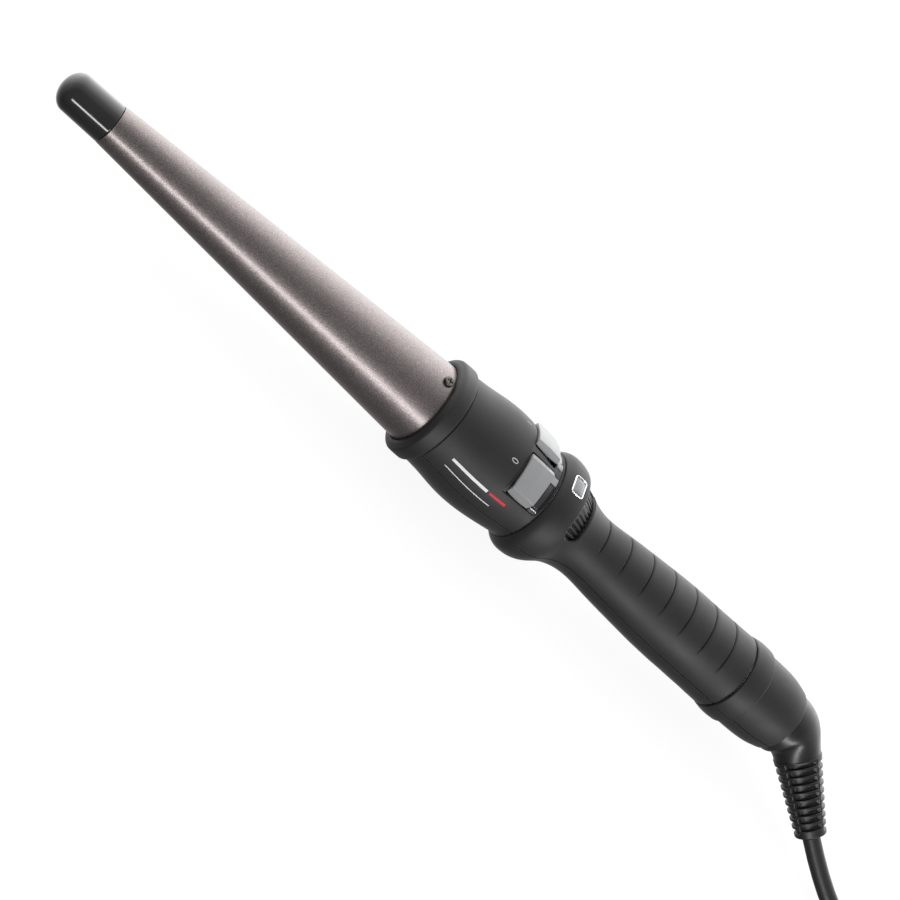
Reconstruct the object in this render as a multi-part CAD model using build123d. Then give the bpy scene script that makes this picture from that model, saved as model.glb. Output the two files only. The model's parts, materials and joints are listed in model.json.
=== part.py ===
from build123d import *
from math import cos, radians, sin, tan
import os

# Conical curling wand with a swivel cord, in millimetres.
# Sub-parts are drawn along X from the tip (X = 0) on their common axis, with +Z towards the keys,
# then moved so that the origin is under the middle of the wand, on the surface it lies on.

# Driving sizes
LENGTH = 356.5  # of the rigid wand, from its tip to where the elbow leaves the axis
AXIS_HEIGHT = 21.1  # the bulge rests on the surface
CLEAR = 0.15  # gap between pieces that are assembled, not fitted
SEAM_ANGLE = 0.35  # each shell stops this many degrees short of the seam plane
SEAM = 0.1  # and each screw boss this far short of it
WALL = 2.0  # shell wall

# Barrel
TIP_DOME = 5.4
TIP_RADIUS = 7.16
BARREL_START = 19.8
BARREL_END = 173.0
BARREL_TIP_RADIUS = 7.36
BARREL_SLOPE = 0.0601
BARREL_BASE = 163.0  # where the cone becomes a cylinder inside the collar
BARREL_WALL = 0.9
BARREL_SCREW_X = 160.2
CAP_SPIGOT = 6.2  # radius and length of what goes into the tube

# Heater inside the barrel
HEATER_FRONT = 30.0
HEATER_REAR = 150.0
HEATER_GAP = 1.75  # half the slit for the ceramic strip
CERAMIC = (36.0, 140.0, 4.4, 1.3)  # from, to, half width, half thickness
ELECTRODE = (34.0, 146.0, 4.0)
SENSOR_X = 146.5
SENSOR_Y = 8.0
SENSOR_RADIUS = 1.4

# Shells
BODY_FRONT = 170.5
BODY_REAR = 214.9
HANDLE_FRONT = 215.2
HANDLE_REAR = 321.4
REAR_FRONT = 322.3
REAR_END = 353.0
BODY_LINE = [(BODY_FRONT, 18.4), (178.0, 19.0), (185.5, 20.0), (193.7, 20.4), (203.0, 19.7), (212.7, 18.3)]
FLANK_LINE = [(212.7, 18.3), (BODY_REAR, 18.25)]
HANDLE_LINE = [
    (HANDLE_FRONT, 18.7), (216.2, 19.6), (218.0, 20.7), (220.5, 21.1), (224.4, 20.65), (228.3, 18.95), (232.2, 16.3), (236.5, 14.3),
    (244.0, 12.75), (256.0, 13.3), (272.0, 14.5), (288.5, 15.4), (305.0, 15.55), (HANDLE_REAR, 15.8),
]
BAND_LINE = [(REAR_FRONT, 16.0), (326.0, 16.6), (331.0, 16.5)]
REAR_LINE = [(331.6, 15.6), (340.0, 15.55), (347.8, 14.86), (REAR_END, 13.6)]

SCREW_BOSS = 3.3
SCREW_HOLE = 1.4
SCREW_HEAD_WELL = 2.6
SCREW_SEAT = -7.0
BODY_SCREWS = [(183.0, y) for y in (-11.0, 11.0)]
HANDLE_SCREWS = [(246.5, 0.0), (304.0, 0.0)]

# Grip grooves on the upper shell
GROOVE_FIRST = 245.0
GROOVE_PITCH = 10.93
GROOVE_COUNT = 7
GROOVE_DEPTH = 0.35
GROOVE_HALF_ANGLE = 40.0

# Keys
PRESS_ANGLE = 29.75  # each key moves along a radius this far from the top
KEY_FRONT = 198.8
KEY_REAR = 210.2
KEY_HALF_WIDTH = 8.4
KEY_TOP_RADIUS = 20.95
KEY_GAP = 0.3
FRAME_FRONT = 197.9
FRAME_REAR = 214.0
FRAME_ANGLE = 58.0
FRAME_INNER = 16.6
FRAME_LINE = [(196.0, 20.4), (203.0, 19.7), (208.5, 18.95), (212.0, 18.45), (216.0, 18.3)]
KEY_MIDDLE = (KEY_FRONT + KEY_REAR) / 2
KEY_FOOT = 13.2  # height of the flange's top along the travel
FLANGE = 0.6  # how far the flange reaches under the frame, ahead of and behind the key
STEM_TOP = 12.1
STEM_FOOT = 10.4
PLUNGER_FOOT = 8.9
PLUNGER_RADIUS = 1.7
SWITCH_FOOT = 6.5
SWITCH_TOP = 9.5
WINDOW_FRONT = 211.0
WINDOW_REAR = 213.6
WINDOW_ANGLES = (14, 47)
TRIM_ANGLES = (48.5, 51)

# Thermostat ring
DIAL_FRONT = 226.3
DIAL_REAR = 234.2
DIAL_FRONT_RADIUS = 17.8
DIAL_REAR_RADIUS = 14.0
DIAL_BORE = 9.38
DIAL_RIBS = 48
SLOT_HALF_ANGLE = 52.0
SLOT_ROUND_ANGLE = 13.0  # what the round ends take of it
SLEEVE_RADIUS = 9.3
TRACK_FRONT = 220.25
TRACK_REAR = 220.85

# Indicator
LAMP_X = 221.0
BEZEL_LENGTH = 5.6
BEZEL_WIDTH = 8.0
BEZEL_WALL = 0.9

# Electronics and leads inside
BOARD_FRONT = 253.0
BOARD_REAR = 298.0
BOARD_HALF_WIDTH = 8.5
BOARD_HALF_THICK = 0.8
ON_BOARD = 0.85  # foot of what stands on the board
FUSE = (184.0, 193.0, 1.8)
LEAD_RADIUS = 0.9
LEAD_Y = 4.6
LEAD_Z = -5.0

# Swivel and cord
SLIP_RINGS = (332.5, 337.0)
SLIP_OUTER = 6.4
STEM_RADIUS = 5.2
BUSH_OUTER = 13.0
BORE_RADIUS = 12.7
ELBOW_RADIUS = 12.4
FLANGE_RADIUS = 13.4
PIVOT_X = 359.0
CORD_WAY = Vector(34.9, -23.9, -11.1).normalized()  # out of the elbow
ELBOW_NECK = 11.8  # radius where the elbow turns
RELIEF_START = 15.8
RELIEF_END = 43.7
RELIEF_BIG = 9.0
RELIEF_SMALL = 6.0
RELIEF_RIBS = 9
CORD = 6.8

# Hank, in the row's own frame: X along the wand, Z up from the surface
HANK_LEFT = 316.0  # middle of the nearer end loop
HANK_RUN = 96.0  # between the middles of the two end loops
HANK_Y = -20.7
HANK_COLUMNS = 2
HANK_LAYERS = 4
FOLD_RADIUS = 3 * CORD  # the innermost turn's bend
WAIST = 17.6  # half width where the tie holds it
TIE_WIDTH = 14.0
TIE_THICK = 1.2

# Plug: two round pins
PIN_RADIUS = 2.0
PIN_LENGTH = 19.0
PIN_SPACING = 18.6
PLUG_LENGTH = 36.0
PLUG_WIDTH = 35.3
PLUG_HEIGHT = 13.7
PLUG_RELIEF_LENGTH = 22.0
PLUG_BACK = 398.0  # X of the plug's cord end, in the row's frame


def barrel_radius(x):
    return BARREL_TIP_RADIUS + BARREL_SLOPE * (min(x, BARREL_BASE) - BARREL_START)


def turned(*points):
    """A solid turned about the axis from its outline, given as (x, radius)."""
    return revolve(make_face(Polyline(*points, close=True)), Axis.X, 360)


def ring(x0, x1, outer, inner):
    return turned((x0, inner), (x1, inner), (x1, outer), (x0, outer))


def rod(x0, x1, radius, y=0, z=0):
    return Pos((x0 + x1) / 2, y, z) * Rot(0, 90, 0) * Cylinder(radius, x1 - x0)


def block(x0, x1, y0, y1, z0, z1):
    return Pos((x0 + x1) / 2, (y0 + y1) / 2, (z0 + z1) / 2) * Box(x1 - x0, y1 - y0, z1 - z0)


def post(x, y, z0, z1, radius):
    return Pos(x, y, (z0 + z1) / 2) * Cylinder(radius, z1 - z0)


def sector(x0, x1, inner, outer, angle0, angle1):
    """Part of a ring, between two angles from the top towards the near side."""
    face = make_face(Polyline((x0, inner), (x1, inner), (x1, outer), (x0, outer), close=True))
    return Rot(90 + angle0, 0, 0) * revolve(face, Axis.X, angle1 - angle0)


def pressed(side, x0, x1, t0, t1, w0, w1, corner=0):
    """A block in a key's own frame: t across the key, away from the top, and w along its travel."""
    box = Box(x1 - x0, t1 - t0, w1 - w0)
    if corner:
        box = fillet(box.edges().filter_by(Axis.Z), corner)
    return Rot(side * PRESS_ANGLE, 0, 0) * Pos((x0 + x1) / 2, -side * (t0 + t1) / 2, (w0 + w1) / 2) * box


def pressed_post(side, x, w0, w1, radius):
    return Rot(side * PRESS_ANGLE, 0, 0) * post(x, 0, w0, w1, radius)


def area_under(line, inset):
    """The area between a smooth outline and the axis."""
    points = [(x, r - inset) for x, r in line]
    ends = Polyline(points[-1], (points[-1][0], 0), (points[0][0], 0), points[0])
    return make_face([Spline(*points), ends])


def strip(x0, x1, outer, inner=0):
    return make_face(Polyline((x0, inner), (x1, inner), (x1, outer), (x0, outer), close=True))


def under(line, inset):
    """The solid inside a smooth outline, down to the axis."""
    return revolve(area_under(line, inset), Axis.X, 360)


def half_turn(area, upper):
    """The upper or lower half of a turned shell, a little less than half a turn."""
    start = SEAM_ANGLE if upper else 180 + SEAM_ANGLE
    return Rot(start, 0, 0) * revolve(area, Axis.X, 180 - 2 * SEAM_ANGLE)


def along(way, start, end, outer_start, outer_end, steps=()):
    """A turned solid along a direction from the swivel's centre; steps are (distance, radius) between the ends."""
    points = [(start, 0), (start, outer_start), *steps, (end, outer_end), (end, 0)]
    solid = turned(*points)
    return Plane(origin=(PIVOT_X, 0, 0), x_dir=way, z_dir=way.cross(Vector(0, 0, 1)).normalized()).location * solid


# ---- barrel and heater ----


def tip_cap():
    dome = make_face(
        [
            Spline((0, 0), (TIP_DOME, TIP_RADIUS), tangents=[(0, 1), (1, 0)], tangent_scalars=[1.2, 1.0]),
            Polyline(
                (TIP_DOME, TIP_RADIUS),
                (BARREL_START - CLEAR, BARREL_TIP_RADIUS - 0.02),
                (BARREL_START - CLEAR, CAP_SPIGOT),
                (BARREL_START + CAP_SPIGOT, CAP_SPIGOT),
                (BARREL_START + CAP_SPIGOT, 0),
                (0, 0),
            ),
        ]
    )
    cavity = rod(TIP_DOME - 1, BARREL_START + 7, 5.0)
    return revolve(dome, Axis.X, 360) - cavity


def barrel_tube():
    outer = [(x, barrel_radius(x)) for x in (BARREL_START, BARREL_BASE, BARREL_END)]
    inner = [(x, r - BARREL_WALL) for x, r in reversed(outer)]
    tube = turned(*outer, *inner)
    return tube - post(BARREL_SCREW_X, 0, -20, 20, 1.3)


def barrel_bush():
    body = ring(156.0, BARREL_END, 14.5, 9.0) + ring(BARREL_END, 176.5, 17.0, 9.0)
    return body - post(BARREL_SCREW_X, 0, -20, 20, 1.12)


def cross_recess(top, depth, size):
    return Pos(0, 0, top - depth / 2) * (Box(size, 0.6, depth) + Box(0.6, size, depth))


def barrel_screws():
    seat = barrel_radius(BARREL_SCREW_X) + 0.15
    head = Pos(0, 0, seat + 0.45) * Cylinder(1.9, 0.9)
    head = fillet(head.edges().sort_by(Axis.Z)[-1], 0.4)
    screw = head + Pos(0, 0, seat - 2.9) * Cylinder(1.1, 5.8) - cross_recess(seat + 0.9, 0.5, 2.4)
    return Pos(BARREL_SCREW_X, 0, 0) * screw, Pos(BARREL_SCREW_X, 0, 0) * Rot(180, 0, 0) * screw


def heater_block(upper):
    start, end = HEATER_FRONT, HEATER_REAR
    inset = BARREL_WALL + 0.2
    wedge = turned((start, 0), (start, barrel_radius(start) - inset), (end, barrel_radius(end) - inset), (end, 0))
    wedge -= block(start - 1, end + 1, -20, 20, -HEATER_GAP, HEATER_GAP)
    side = 1 if upper else -1
    wedge &= block(start - 1, end + 1, -20, 20, min(0, side * 20), max(0, side * 20))
    lightening = rod(90, end + 1, 2.6, 0, side * 7.0)
    return wedge - lightening


def ceramic_heater():
    front, rear, half_width, half_thick = CERAMIC
    return block(front, rear, -half_width, half_width, -half_thick, half_thick)


def electrode_strips():
    front, rear, half_width = ELECTRODE
    return [block(front, rear, -half_width, half_width, *z) for z in ((1.35, 1.65), (-1.65, -1.35))]


def temperature_sensor():
    return Pos(SENSOR_X, SENSOR_Y, 0) * Sphere(SENSOR_RADIUS)


# ---- collar and body ----


def collar_ring():
    outline = Polyline(
        (162.6, 16.15), (163.2, 18.4), (164.4, 19.5), (166.5, 19.75), (169.2, 19.6), (170.2, 18.9),
        (170.2, 17.2), (172.7, 17.2), (172.7, 16.15), close=True,
    )
    return revolve(make_face(outline), Axis.X, 360)


def body_area():
    """The body shell's section: a smooth outside, a flank up to the bulge, and seats inside the front."""
    outer = area_under(BODY_LINE, 0)
    flank = make_face(Polyline((FLANK_LINE[0][0], 0), *FLANK_LINE, (BODY_REAR, 0), close=True))
    cavity = area_under(BODY_LINE[1:], WALL) + strip(212.6, BODY_REAR + 1, 16.3)
    seats = strip(BODY_FRONT - 1, 172.9, 17.3) + strip(172.8, 176.6, 17.1) + strip(176.5, 178.1, 15.0)
    return outer + flank - cavity - seats


def frame_window():
    return sector(
        FRAME_FRONT - CLEAR, FRAME_REAR + CLEAR, 15.5, 24, -FRAME_ANGLE - 0.5, FRAME_ANGLE + 0.5
    )


def with_bosses(shell, envelope, screws, upper):
    """Screw bosses that meet at the seam, inside the shell's outline."""
    for x, y in screws:
        z0, z1 = (SEAM, 30) if upper else (-30, -SEAM)
        shell += post(x, y, z0, z1, SCREW_BOSS) & envelope
    for x, y in screws:
        shell -= post(x, y, -30, -SCREW_SEAT, SCREW_HOLE)
        if not upper:
            shell -= post(x, y, -30, SCREW_SEAT, SCREW_HEAD_WELL)
    return shell


def body_upper():
    shell = with_bosses(half_turn(body_area(), True), under(BODY_LINE, 0.5), BODY_SCREWS, True)
    return shell - frame_window()


def body_lower():
    return with_bosses(half_turn(body_area(), False), under(BODY_LINE, 0.5), BODY_SCREWS, False)


def case_screw(x, y):
    shank = post(x, y, SCREW_SEAT, 6.0, SCREW_HOLE - 0.05)
    head = post(x, y, SCREW_SEAT - 2, SCREW_SEAT, SCREW_HEAD_WELL - 0.1)
    return shank + head - Pos(x, y, 0) * cross_recess(SCREW_SEAT - 1, 1.2, 3.2)


def case_screws():
    return [case_screw(x, y) for x, y in BODY_SCREWS + HANDLE_SCREWS]


# ---- keys ----


def key_window(side):
    gap = KEY_GAP
    return pressed(
        side, KEY_FRONT - gap, KEY_REAR + gap, -KEY_HALF_WIDTH - gap, KEY_HALF_WIDTH + gap, 8, 26, 1.0
    )


def frame_surface(extra):
    """The switch frame's top follows the body's outline."""
    return under(FRAME_LINE, -extra)


def switch_frame():
    frame = sector(FRAME_FRONT, FRAME_REAR, FRAME_INNER, 24, -FRAME_ANGLE, FRAME_ANGLE) & frame_surface(0.1)
    for side in (1, -1):
        frame -= key_window(side)
        frame -= window_sector(side, 0.0)
        frame -= trim_sector(side, 0.0)
    return frame


def window_sector(side, inset):
    a, b = sorted((side * (WINDOW_ANGLES[0] + inset), side * (WINDOW_ANGLES[1] - inset)))
    return sector(WINDOW_FRONT + inset / 3, WINDOW_REAR - inset / 3, 17.6 + inset / 3, 18.7, a, b)


def trim_sector(side, inset):
    a, b = sorted((side * (TRIM_ANGLES[0] + inset), side * (TRIM_ANGLES[1] - inset)))
    return sector(WINDOW_FRONT - 0.1, WINDOW_REAR + 0.2, 18.0, 19.0, a, b)


def status_windows():
    return [window_sector(side, 0.15) for side in (1, -1)]


def trim_strips():
    return [trim_sector(side, 0.1) for side in (1, -1)]


def key(side):
    crown = under([(196.0, 20.6), (KEY_FRONT, KEY_TOP_RADIUS), (204.5, 21.0), (KEY_REAR, 20.3), (213.0, 19.6)], 0)
    pad = pressed(side, KEY_FRONT, KEY_REAR, -KEY_HALF_WIDTH, KEY_HALF_WIDTH, 17.0, 26, 0.8) & crown
    neck = pressed(side, KEY_FRONT + 1, KEY_REAR - 1, -5.4, 7.2, KEY_FOOT - 0.2, 17.2)
    flange = pressed(side, KEY_FRONT - FLANGE, KEY_REAR + FLANGE - 0.2, -5.4, 9.2, STEM_TOP - 0.1, KEY_FOOT)
    stem = pressed_post(side, KEY_MIDDLE, STEM_FOOT, STEM_TOP, PLUNGER_RADIUS - 0.1)
    return pad + neck + flange + stem


def tact_plunger(side):
    return pressed_post(side, KEY_MIDDLE, PLUNGER_FOOT, STEM_FOOT, PLUNGER_RADIUS)


def tact_switch(side):
    housing = pressed(side, KEY_MIDDLE - 3, KEY_MIDDLE + 3, -3, 3, SWITCH_FOOT, SWITCH_TOP)
    return housing - pressed_post(side, KEY_MIDDLE, SWITCH_FOOT + 1, 10, PLUNGER_RADIUS + 0.15)


def switch_bracket():
    a = radians(PRESS_ANGLE)
    crest = [(SWITCH_FOOT * sin(a) + t * cos(a), SWITCH_FOOT * cos(a) - t * sin(a)) for t in (-1.6, 7.5)]
    half = [(crest[0][0], crest[0][1]), (crest[1][0], crest[1][1]), (crest[1][0], 0.6), (16.2, 0.6), (16.2, -1.0)]
    outline = half + [(-y, z) for y, z in reversed(half)]
    face = make_face(Polyline(*outline, close=True))
    return Plane(origin=(199.5, 0, 0), x_dir=(0, 1, 0), z_dir=(1, 0, 0)).location * extrude(face, 10.0)


# ---- handle, thermostat and indicator ----


def dial_area(gap):
    """The thermostat ring's section, or the pocket that it turns in."""
    front, rear = DIAL_FRONT - gap, DIAL_REAR + gap
    return make_face(
        Polyline(
            (front, 0), (front, DIAL_FRONT_RADIUS + gap), (rear, DIAL_REAR_RADIUS + gap), (rear, 0), close=True
        )
    )


def dial_slot():
    """The slot in the upper shell, with rounded ends."""
    middle = (DIAL_FRONT + DIAL_REAR) / 2
    radius = (DIAL_REAR - DIAL_FRONT) / 2
    end = SLOT_HALF_ANGLE - SLOT_ROUND_ANGLE
    slot = sector(middle - radius, middle + radius, 10, 24, -end, end)
    for angle in (-end, end):
        slot += Rot(angle, 0, 0) * post(middle, 0, 10, 24, radius)
    return slot


def handle_area():
    """The handle shell's section: bulge, neck and grip, a tongue into the body and a spigot into the rear."""
    outer = area_under(HANDLE_LINE, 0)
    cavity = area_under(HANDLE_LINE, WALL) - strip(HANDLE_FRONT - 1, 219.1, 30)
    cavity -= strip(318.0, 321.0, 30)
    tongue = strip(211.2, 219.1, 16.1, 14.4)
    spigot = strip(318.0, 327.5, 13.5, 11.6)
    ends = strip(HANDLE_FRONT - 1, 219.2, 14.4) + strip(317.9, 322, 11.6)
    return outer - cavity - ends + tongue + spigot - dial_area(0.3)


def grip_groove(x):
    radius = handle_radius(x)
    return sector(
        x - 0.35, x + 0.35, radius - GROOVE_DEPTH, radius + 2, -GROOVE_HALF_ANGLE, GROOVE_HALF_ANGLE
    )


def handle_radius(x):
    """Straight interpolation of the handle's outline."""
    for (x0, r0), (x1, r1) in zip(HANDLE_LINE, HANDLE_LINE[1:]):
        if x0 <= x <= x1:
            return r0 + (r1 - r0) * (x - x0) / (x1 - x0)
    raise ValueError(x)


def handle_upper():
    shell = with_bosses(half_turn(handle_area(), True), under(HANDLE_LINE, 0.5), HANDLE_SCREWS, True)
    shell -= dial_slot()
    shell -= post_block(BEZEL_LENGTH + 0.2, BEZEL_WIDTH + 0.2)
    for i in range(GROOVE_COUNT):
        shell -= grip_groove(GROOVE_FIRST + i * GROOVE_PITCH)
    return shell


def handle_lower():
    return with_bosses(half_turn(handle_area(), False), under(HANDLE_LINE, 0.5), HANDLE_SCREWS, False)


def post_block(length, width, low=17.0, high=24.0):
    return block(LAMP_X - length / 2, LAMP_X + length / 2, -width / 2, width / 2, low, high)


def indicator_bezel():
    frame = post_block(BEZEL_LENGTH, BEZEL_WIDTH, 18.9)
    frame = fillet(frame.edges().filter_by(Axis.Z), 1.2)
    hole = post_block(BEZEL_LENGTH - 2 * BEZEL_WALL, BEZEL_WIDTH - 2 * BEZEL_WALL)
    return (frame - hole) & under(HANDLE_LINE[:7], -0.3)


def indicator_lens():
    lens = post_block(BEZEL_LENGTH - 2 * BEZEL_WALL - 0.1, BEZEL_WIDTH - 2 * BEZEL_WALL - 0.1, 18.9)
    return lens & under(HANDLE_LINE[:7], -0.1)


def indicator_lamp():
    return post(LAMP_X, 0, 16.8, 18.8, 1.5) + post(LAMP_X, 0, 16.1, 16.9, 1.9)


def thermostat_ring():
    section = dial_area(0) - strip(DIAL_FRONT - 1, DIAL_REAR + 1, DIAL_BORE, -1)
    dial = revolve(section, Axis.X, 360)
    tooth = make_face(Polyline((DIAL_FRONT_RADIUS - 0.7, 0), (25, 1.9), (25, -1.9), close=True))
    lower = make_face(Polyline((DIAL_REAR_RADIUS - 0.7, 0), (22.2, 1.7), (22.2, -1.7), close=True))
    across = Plane(origin=(DIAL_FRONT - 0.5, 0, 0), x_dir=(0, 0, 1), z_dir=(1, 0, 0)).location * tooth
    behind = Plane(origin=(DIAL_REAR + 0.5, 0, 0), x_dir=(0, 0, 1), z_dir=(1, 0, 0)).location * lower
    groove = loft([across, behind])
    grooves = [Rot(360 * i / DIAL_RIBS, 0, 0) * groove for i in range(DIAL_RIBS)]
    return dial - grooves


def dial_carrier():
    return ring(217.6, 236.0, SLEEVE_RADIUS, 8.0) + ring(219.2, 220.2, 16.0, 8.0)


def resistor_track():
    return sector(TRACK_FRONT, TRACK_REAR, 10.5, 13.5, -70, 70)


def dial_wiper():
    front = TRACK_REAR + 0.1
    return block(front, DIAL_FRONT, -1.2, 1.2, 11.6, 12.6) + block(front, front + 0.65, -1.2, 1.2, 10.8, 13.2)


# ---- electronics ----


def circuit_board():
    width, thick = BOARD_HALF_WIDTH, BOARD_HALF_THICK
    return block(BOARD_FRONT, BOARD_REAR, -width, width, -thick, thick)


def triac():
    return block(256, 265, -5, 5, ON_BOARD, 5.0) + block(265, 270.5, -5, 5, ON_BOARD, 2.1)


def film_capacitor():
    return block(273, 286, -4, 4, ON_BOARD, 8.0)


def electrolytic_capacitor():
    return rod(271, 283, 4.0, 0, -4.95)


def control_chip():
    return block(258, 267, -3, 3, -3.0, -ON_BOARD)


def board_connector():
    return block(289, 296, -6, 6, ON_BOARD, 6.0)


def thermal_fuse():
    front, rear, radius = FUSE
    return rod(front, rear, radius, LEAD_Y, LEAD_Z)


def heater_leads():
    """Two leads from the heater to the board; the fuse is in one of them."""
    front, rear = HEATER_REAR + 0.1, BOARD_FRONT - 0.1
    ends = ((front, rear, -LEAD_Y), (front, FUSE[0] - 0.1, LEAD_Y), (FUSE[1] + 0.1, rear, LEAD_Y))
    return [rod(x0, x1, LEAD_RADIUS, y, LEAD_Z) for x0, x1, y in ends]


def sensor_leads():
    return [rod(SENSOR_X + SENSOR_RADIUS, 155.0, 0.4, SENSOR_Y, z) for z in (-0.7, 0.7)]


def supply_leads():
    return [rod(BOARD_REAR + 0.1, 328.9, LEAD_RADIUS, y, 2.0) for y in (-8.2, 8.2)]


# ---- rear and swivel ----


def rear_area():
    """The rear shell's section: a raised band, then a curve in to the opening that the elbow turns in."""
    outer = area_under(BAND_LINE, 0) + area_under(REAR_LINE, 0) + strip(330.9, 331.7, 15.6)
    cavity = strip(REAR_FRONT - 1, 328.5, 13.7) + strip(328.4, 344.3, 13.1) + strip(344.2, 347.3, FLANGE_RADIUS + 0.3)
    return outer - cavity - strip(347.2, REAR_END + 1, BORE_RADIUS)


def swivel_bush():
    return ring(339.6, 344.1, BUSH_OUTER, STEM_RADIUS + 0.06)


def brush_holder():
    return ring(329.0, 339.4, BUSH_OUTER, 8.6)


def contact_brushes():
    """One brush above the first ring and one below the second."""
    brushes = zip(SLIP_RINGS, (0, 180))
    return [Rot(angle, 0, 0) * block(x - 1, x + 1, -1, 1, SLIP_OUTER + 0.1, 8.5) for x, angle in brushes]


def slip_rings():
    return [ring(x - 1.5, x + 1.5, SLIP_OUTER, STEM_RADIUS) for x in SLIP_RINGS]


def swivel_elbow():
    stem = rod(329.5, 345.0, STEM_RADIUS)
    flange = rod(344.5, 347.0, FLANGE_RADIUS)
    neck = rod(346.9, PIVOT_X, ELBOW_RADIUS)
    dome = Pos(PIVOT_X, 0, 0) * Sphere(ELBOW_RADIUS)
    return stem + flange + neck + dome + along(CORD_WAY, 0, RELIEF_START, ELBOW_NECK, RELIEF_BIG)


def strain_relief():
    pitch = (RELIEF_END - RELIEF_START) / RELIEF_RIBS
    steps = []
    for i in range(RELIEF_RIBS):
        x = RELIEF_START + i * pitch
        r = RELIEF_BIG + (RELIEF_SMALL - RELIEF_BIG) * i / (RELIEF_RIBS - 1)
        steps += [(x + 0.3 * pitch, r - 1.6), (x + 0.4 * pitch, r - 0.1), (x + 0.9 * pitch, r - 0.1)]
        steps += [(x + pitch, r - 1.6)]
    return along(CORD_WAY, RELIEF_START, RELIEF_END, RELIEF_BIG - 1.6, RELIEF_SMALL - 1.6, steps[:-1])


# ---- cord, hank and plug, in the row's own frame ----


def row_point(point):
    """From the wand's own frame to the row's."""
    return Vector(point) + Vector(-LENGTH / 2, 0, AXIS_HEIGHT)


CORD_EXIT = row_point(Vector(PIVOT_X, 0, 0) + CORD_WAY * RELIEF_END)
LEAD_ROUTE = [
    CORD_EXIT,
    CORD_EXIT + CORD_WAY * ((CORD_EXIT.Z - CORD / 2) / -CORD_WAY.Z),
    Vector(262.0, -46.8, CORD / 2),
    Vector(289.0, -48.6, CORD / 2),
    Vector(HANK_LEFT - 2, -47.9, CORD / 2),
]
HANK_TOP = HANK_LAYERS * CORD
PLUG_AXIS = HANK_TOP + PLUG_HEIGHT / 2
TAIL_ROUTE = [
    Vector(HANK_LEFT + 2, HANK_Y - 13.5, HANK_TOP + CORD / 2),
    Vector(HANK_LEFT + 17, HANK_Y - 11.5, HANK_TOP + CORD / 2),
    Vector(HANK_LEFT + 32, HANK_Y - 4.5, HANK_TOP + CORD / 2 + 1),
    Vector(HANK_LEFT + 46, HANK_Y, PLUG_AXIS),
    Vector(PLUG_BACK - PLUG_RELIEF_LENGTH, HANK_Y, PLUG_AXIS),
]


def corner_radii(route):
    """The largest arc that each corner's two runs allow."""
    radii = []
    for a, b, c in zip(route, route[1:], route[2:]):
        half_turn = radians((b - a).get_angle(c - b)) / 2
        radii.append(0.45 * min((b - a).length, (c - b).length) / tan(half_turn))
    return radii


def cord_tube(route):
    path = FilletPolyline(*route, radius=corner_radii(route))
    start = Plane(origin=path @ 0, z_dir=path % 0)
    return sweep(start.location * Circle(CORD / 2), path)


def hank_outline():
    """Two end loops joined by a waist that the tie pulls in."""
    end = FOLD_RADIUS + (HANK_COLUMNS - 0.5) * CORD
    reach = HANK_RUN / 2
    pull = (reach**2 + WAIST**2 - end**2) / (2 * (end - WAIST))
    loops = Pos(-reach, 0) * Circle(end) + Pos(reach, 0) * Circle(end)
    core = Rectangle(2 * reach, 2 * (end - 0.001))
    bites = Pos(0, WAIST + pull) * Circle(pull) + Pos(0, -WAIST - pull) * Circle(pull)
    return loops + (core - bites)


def cord_hank():
    hank = extrude(hank_outline(), HANK_TOP)
    hank = Pos(HANK_LEFT + HANK_RUN / 2, HANK_Y, 0) * hank
    return hank - tie_loop()


def tie_loop():
    """A strap round the waist of the hank."""
    x = HANK_LEFT + HANK_RUN / 2
    half = WAIST + 0.3
    outside = block(x - TIE_WIDTH / 2, x + TIE_WIDTH / 2, HANK_Y - half, HANK_Y + half, 0, HANK_TOP)
    half -= TIE_THICK
    low, high = TIE_THICK, HANK_TOP - TIE_THICK
    return outside - block(x - TIE_WIDTH, x + TIE_WIDTH, HANK_Y - half, HANK_Y + half, low, high)


def plug_body():
    middle = Pos(PLUG_BACK + PLUG_LENGTH / 2, HANK_Y, PLUG_AXIS)
    body = middle * Box(PLUG_LENGTH, PLUG_WIDTH, PLUG_HEIGHT)
    body = chamfer(body.edges().filter_by(Axis.Z).group_by(Axis.X)[0], 9, 9)
    return fillet(body.edges().filter_by(Axis.X), 3.0)


def plug_relief():
    taper = Rot(0, 90, 0) * Cone(CORD / 2 + 0.4, CORD / 2 + 1.9, PLUG_RELIEF_LENGTH)
    return Pos(PLUG_BACK - PLUG_RELIEF_LENGTH / 2, HANK_Y, PLUG_AXIS) * taper


def plug_pins():
    x = PLUG_BACK + PLUG_LENGTH
    pins = []
    for side in (-1, 1):
        pin = rod(x, x + PIN_LENGTH, PIN_RADIUS, HANK_Y + side * PIN_SPACING / 2, PLUG_AXIS)
        pins.append(fillet(pin.edges().sort_by(Axis.X)[-1], 1.0))
    return pins


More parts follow.
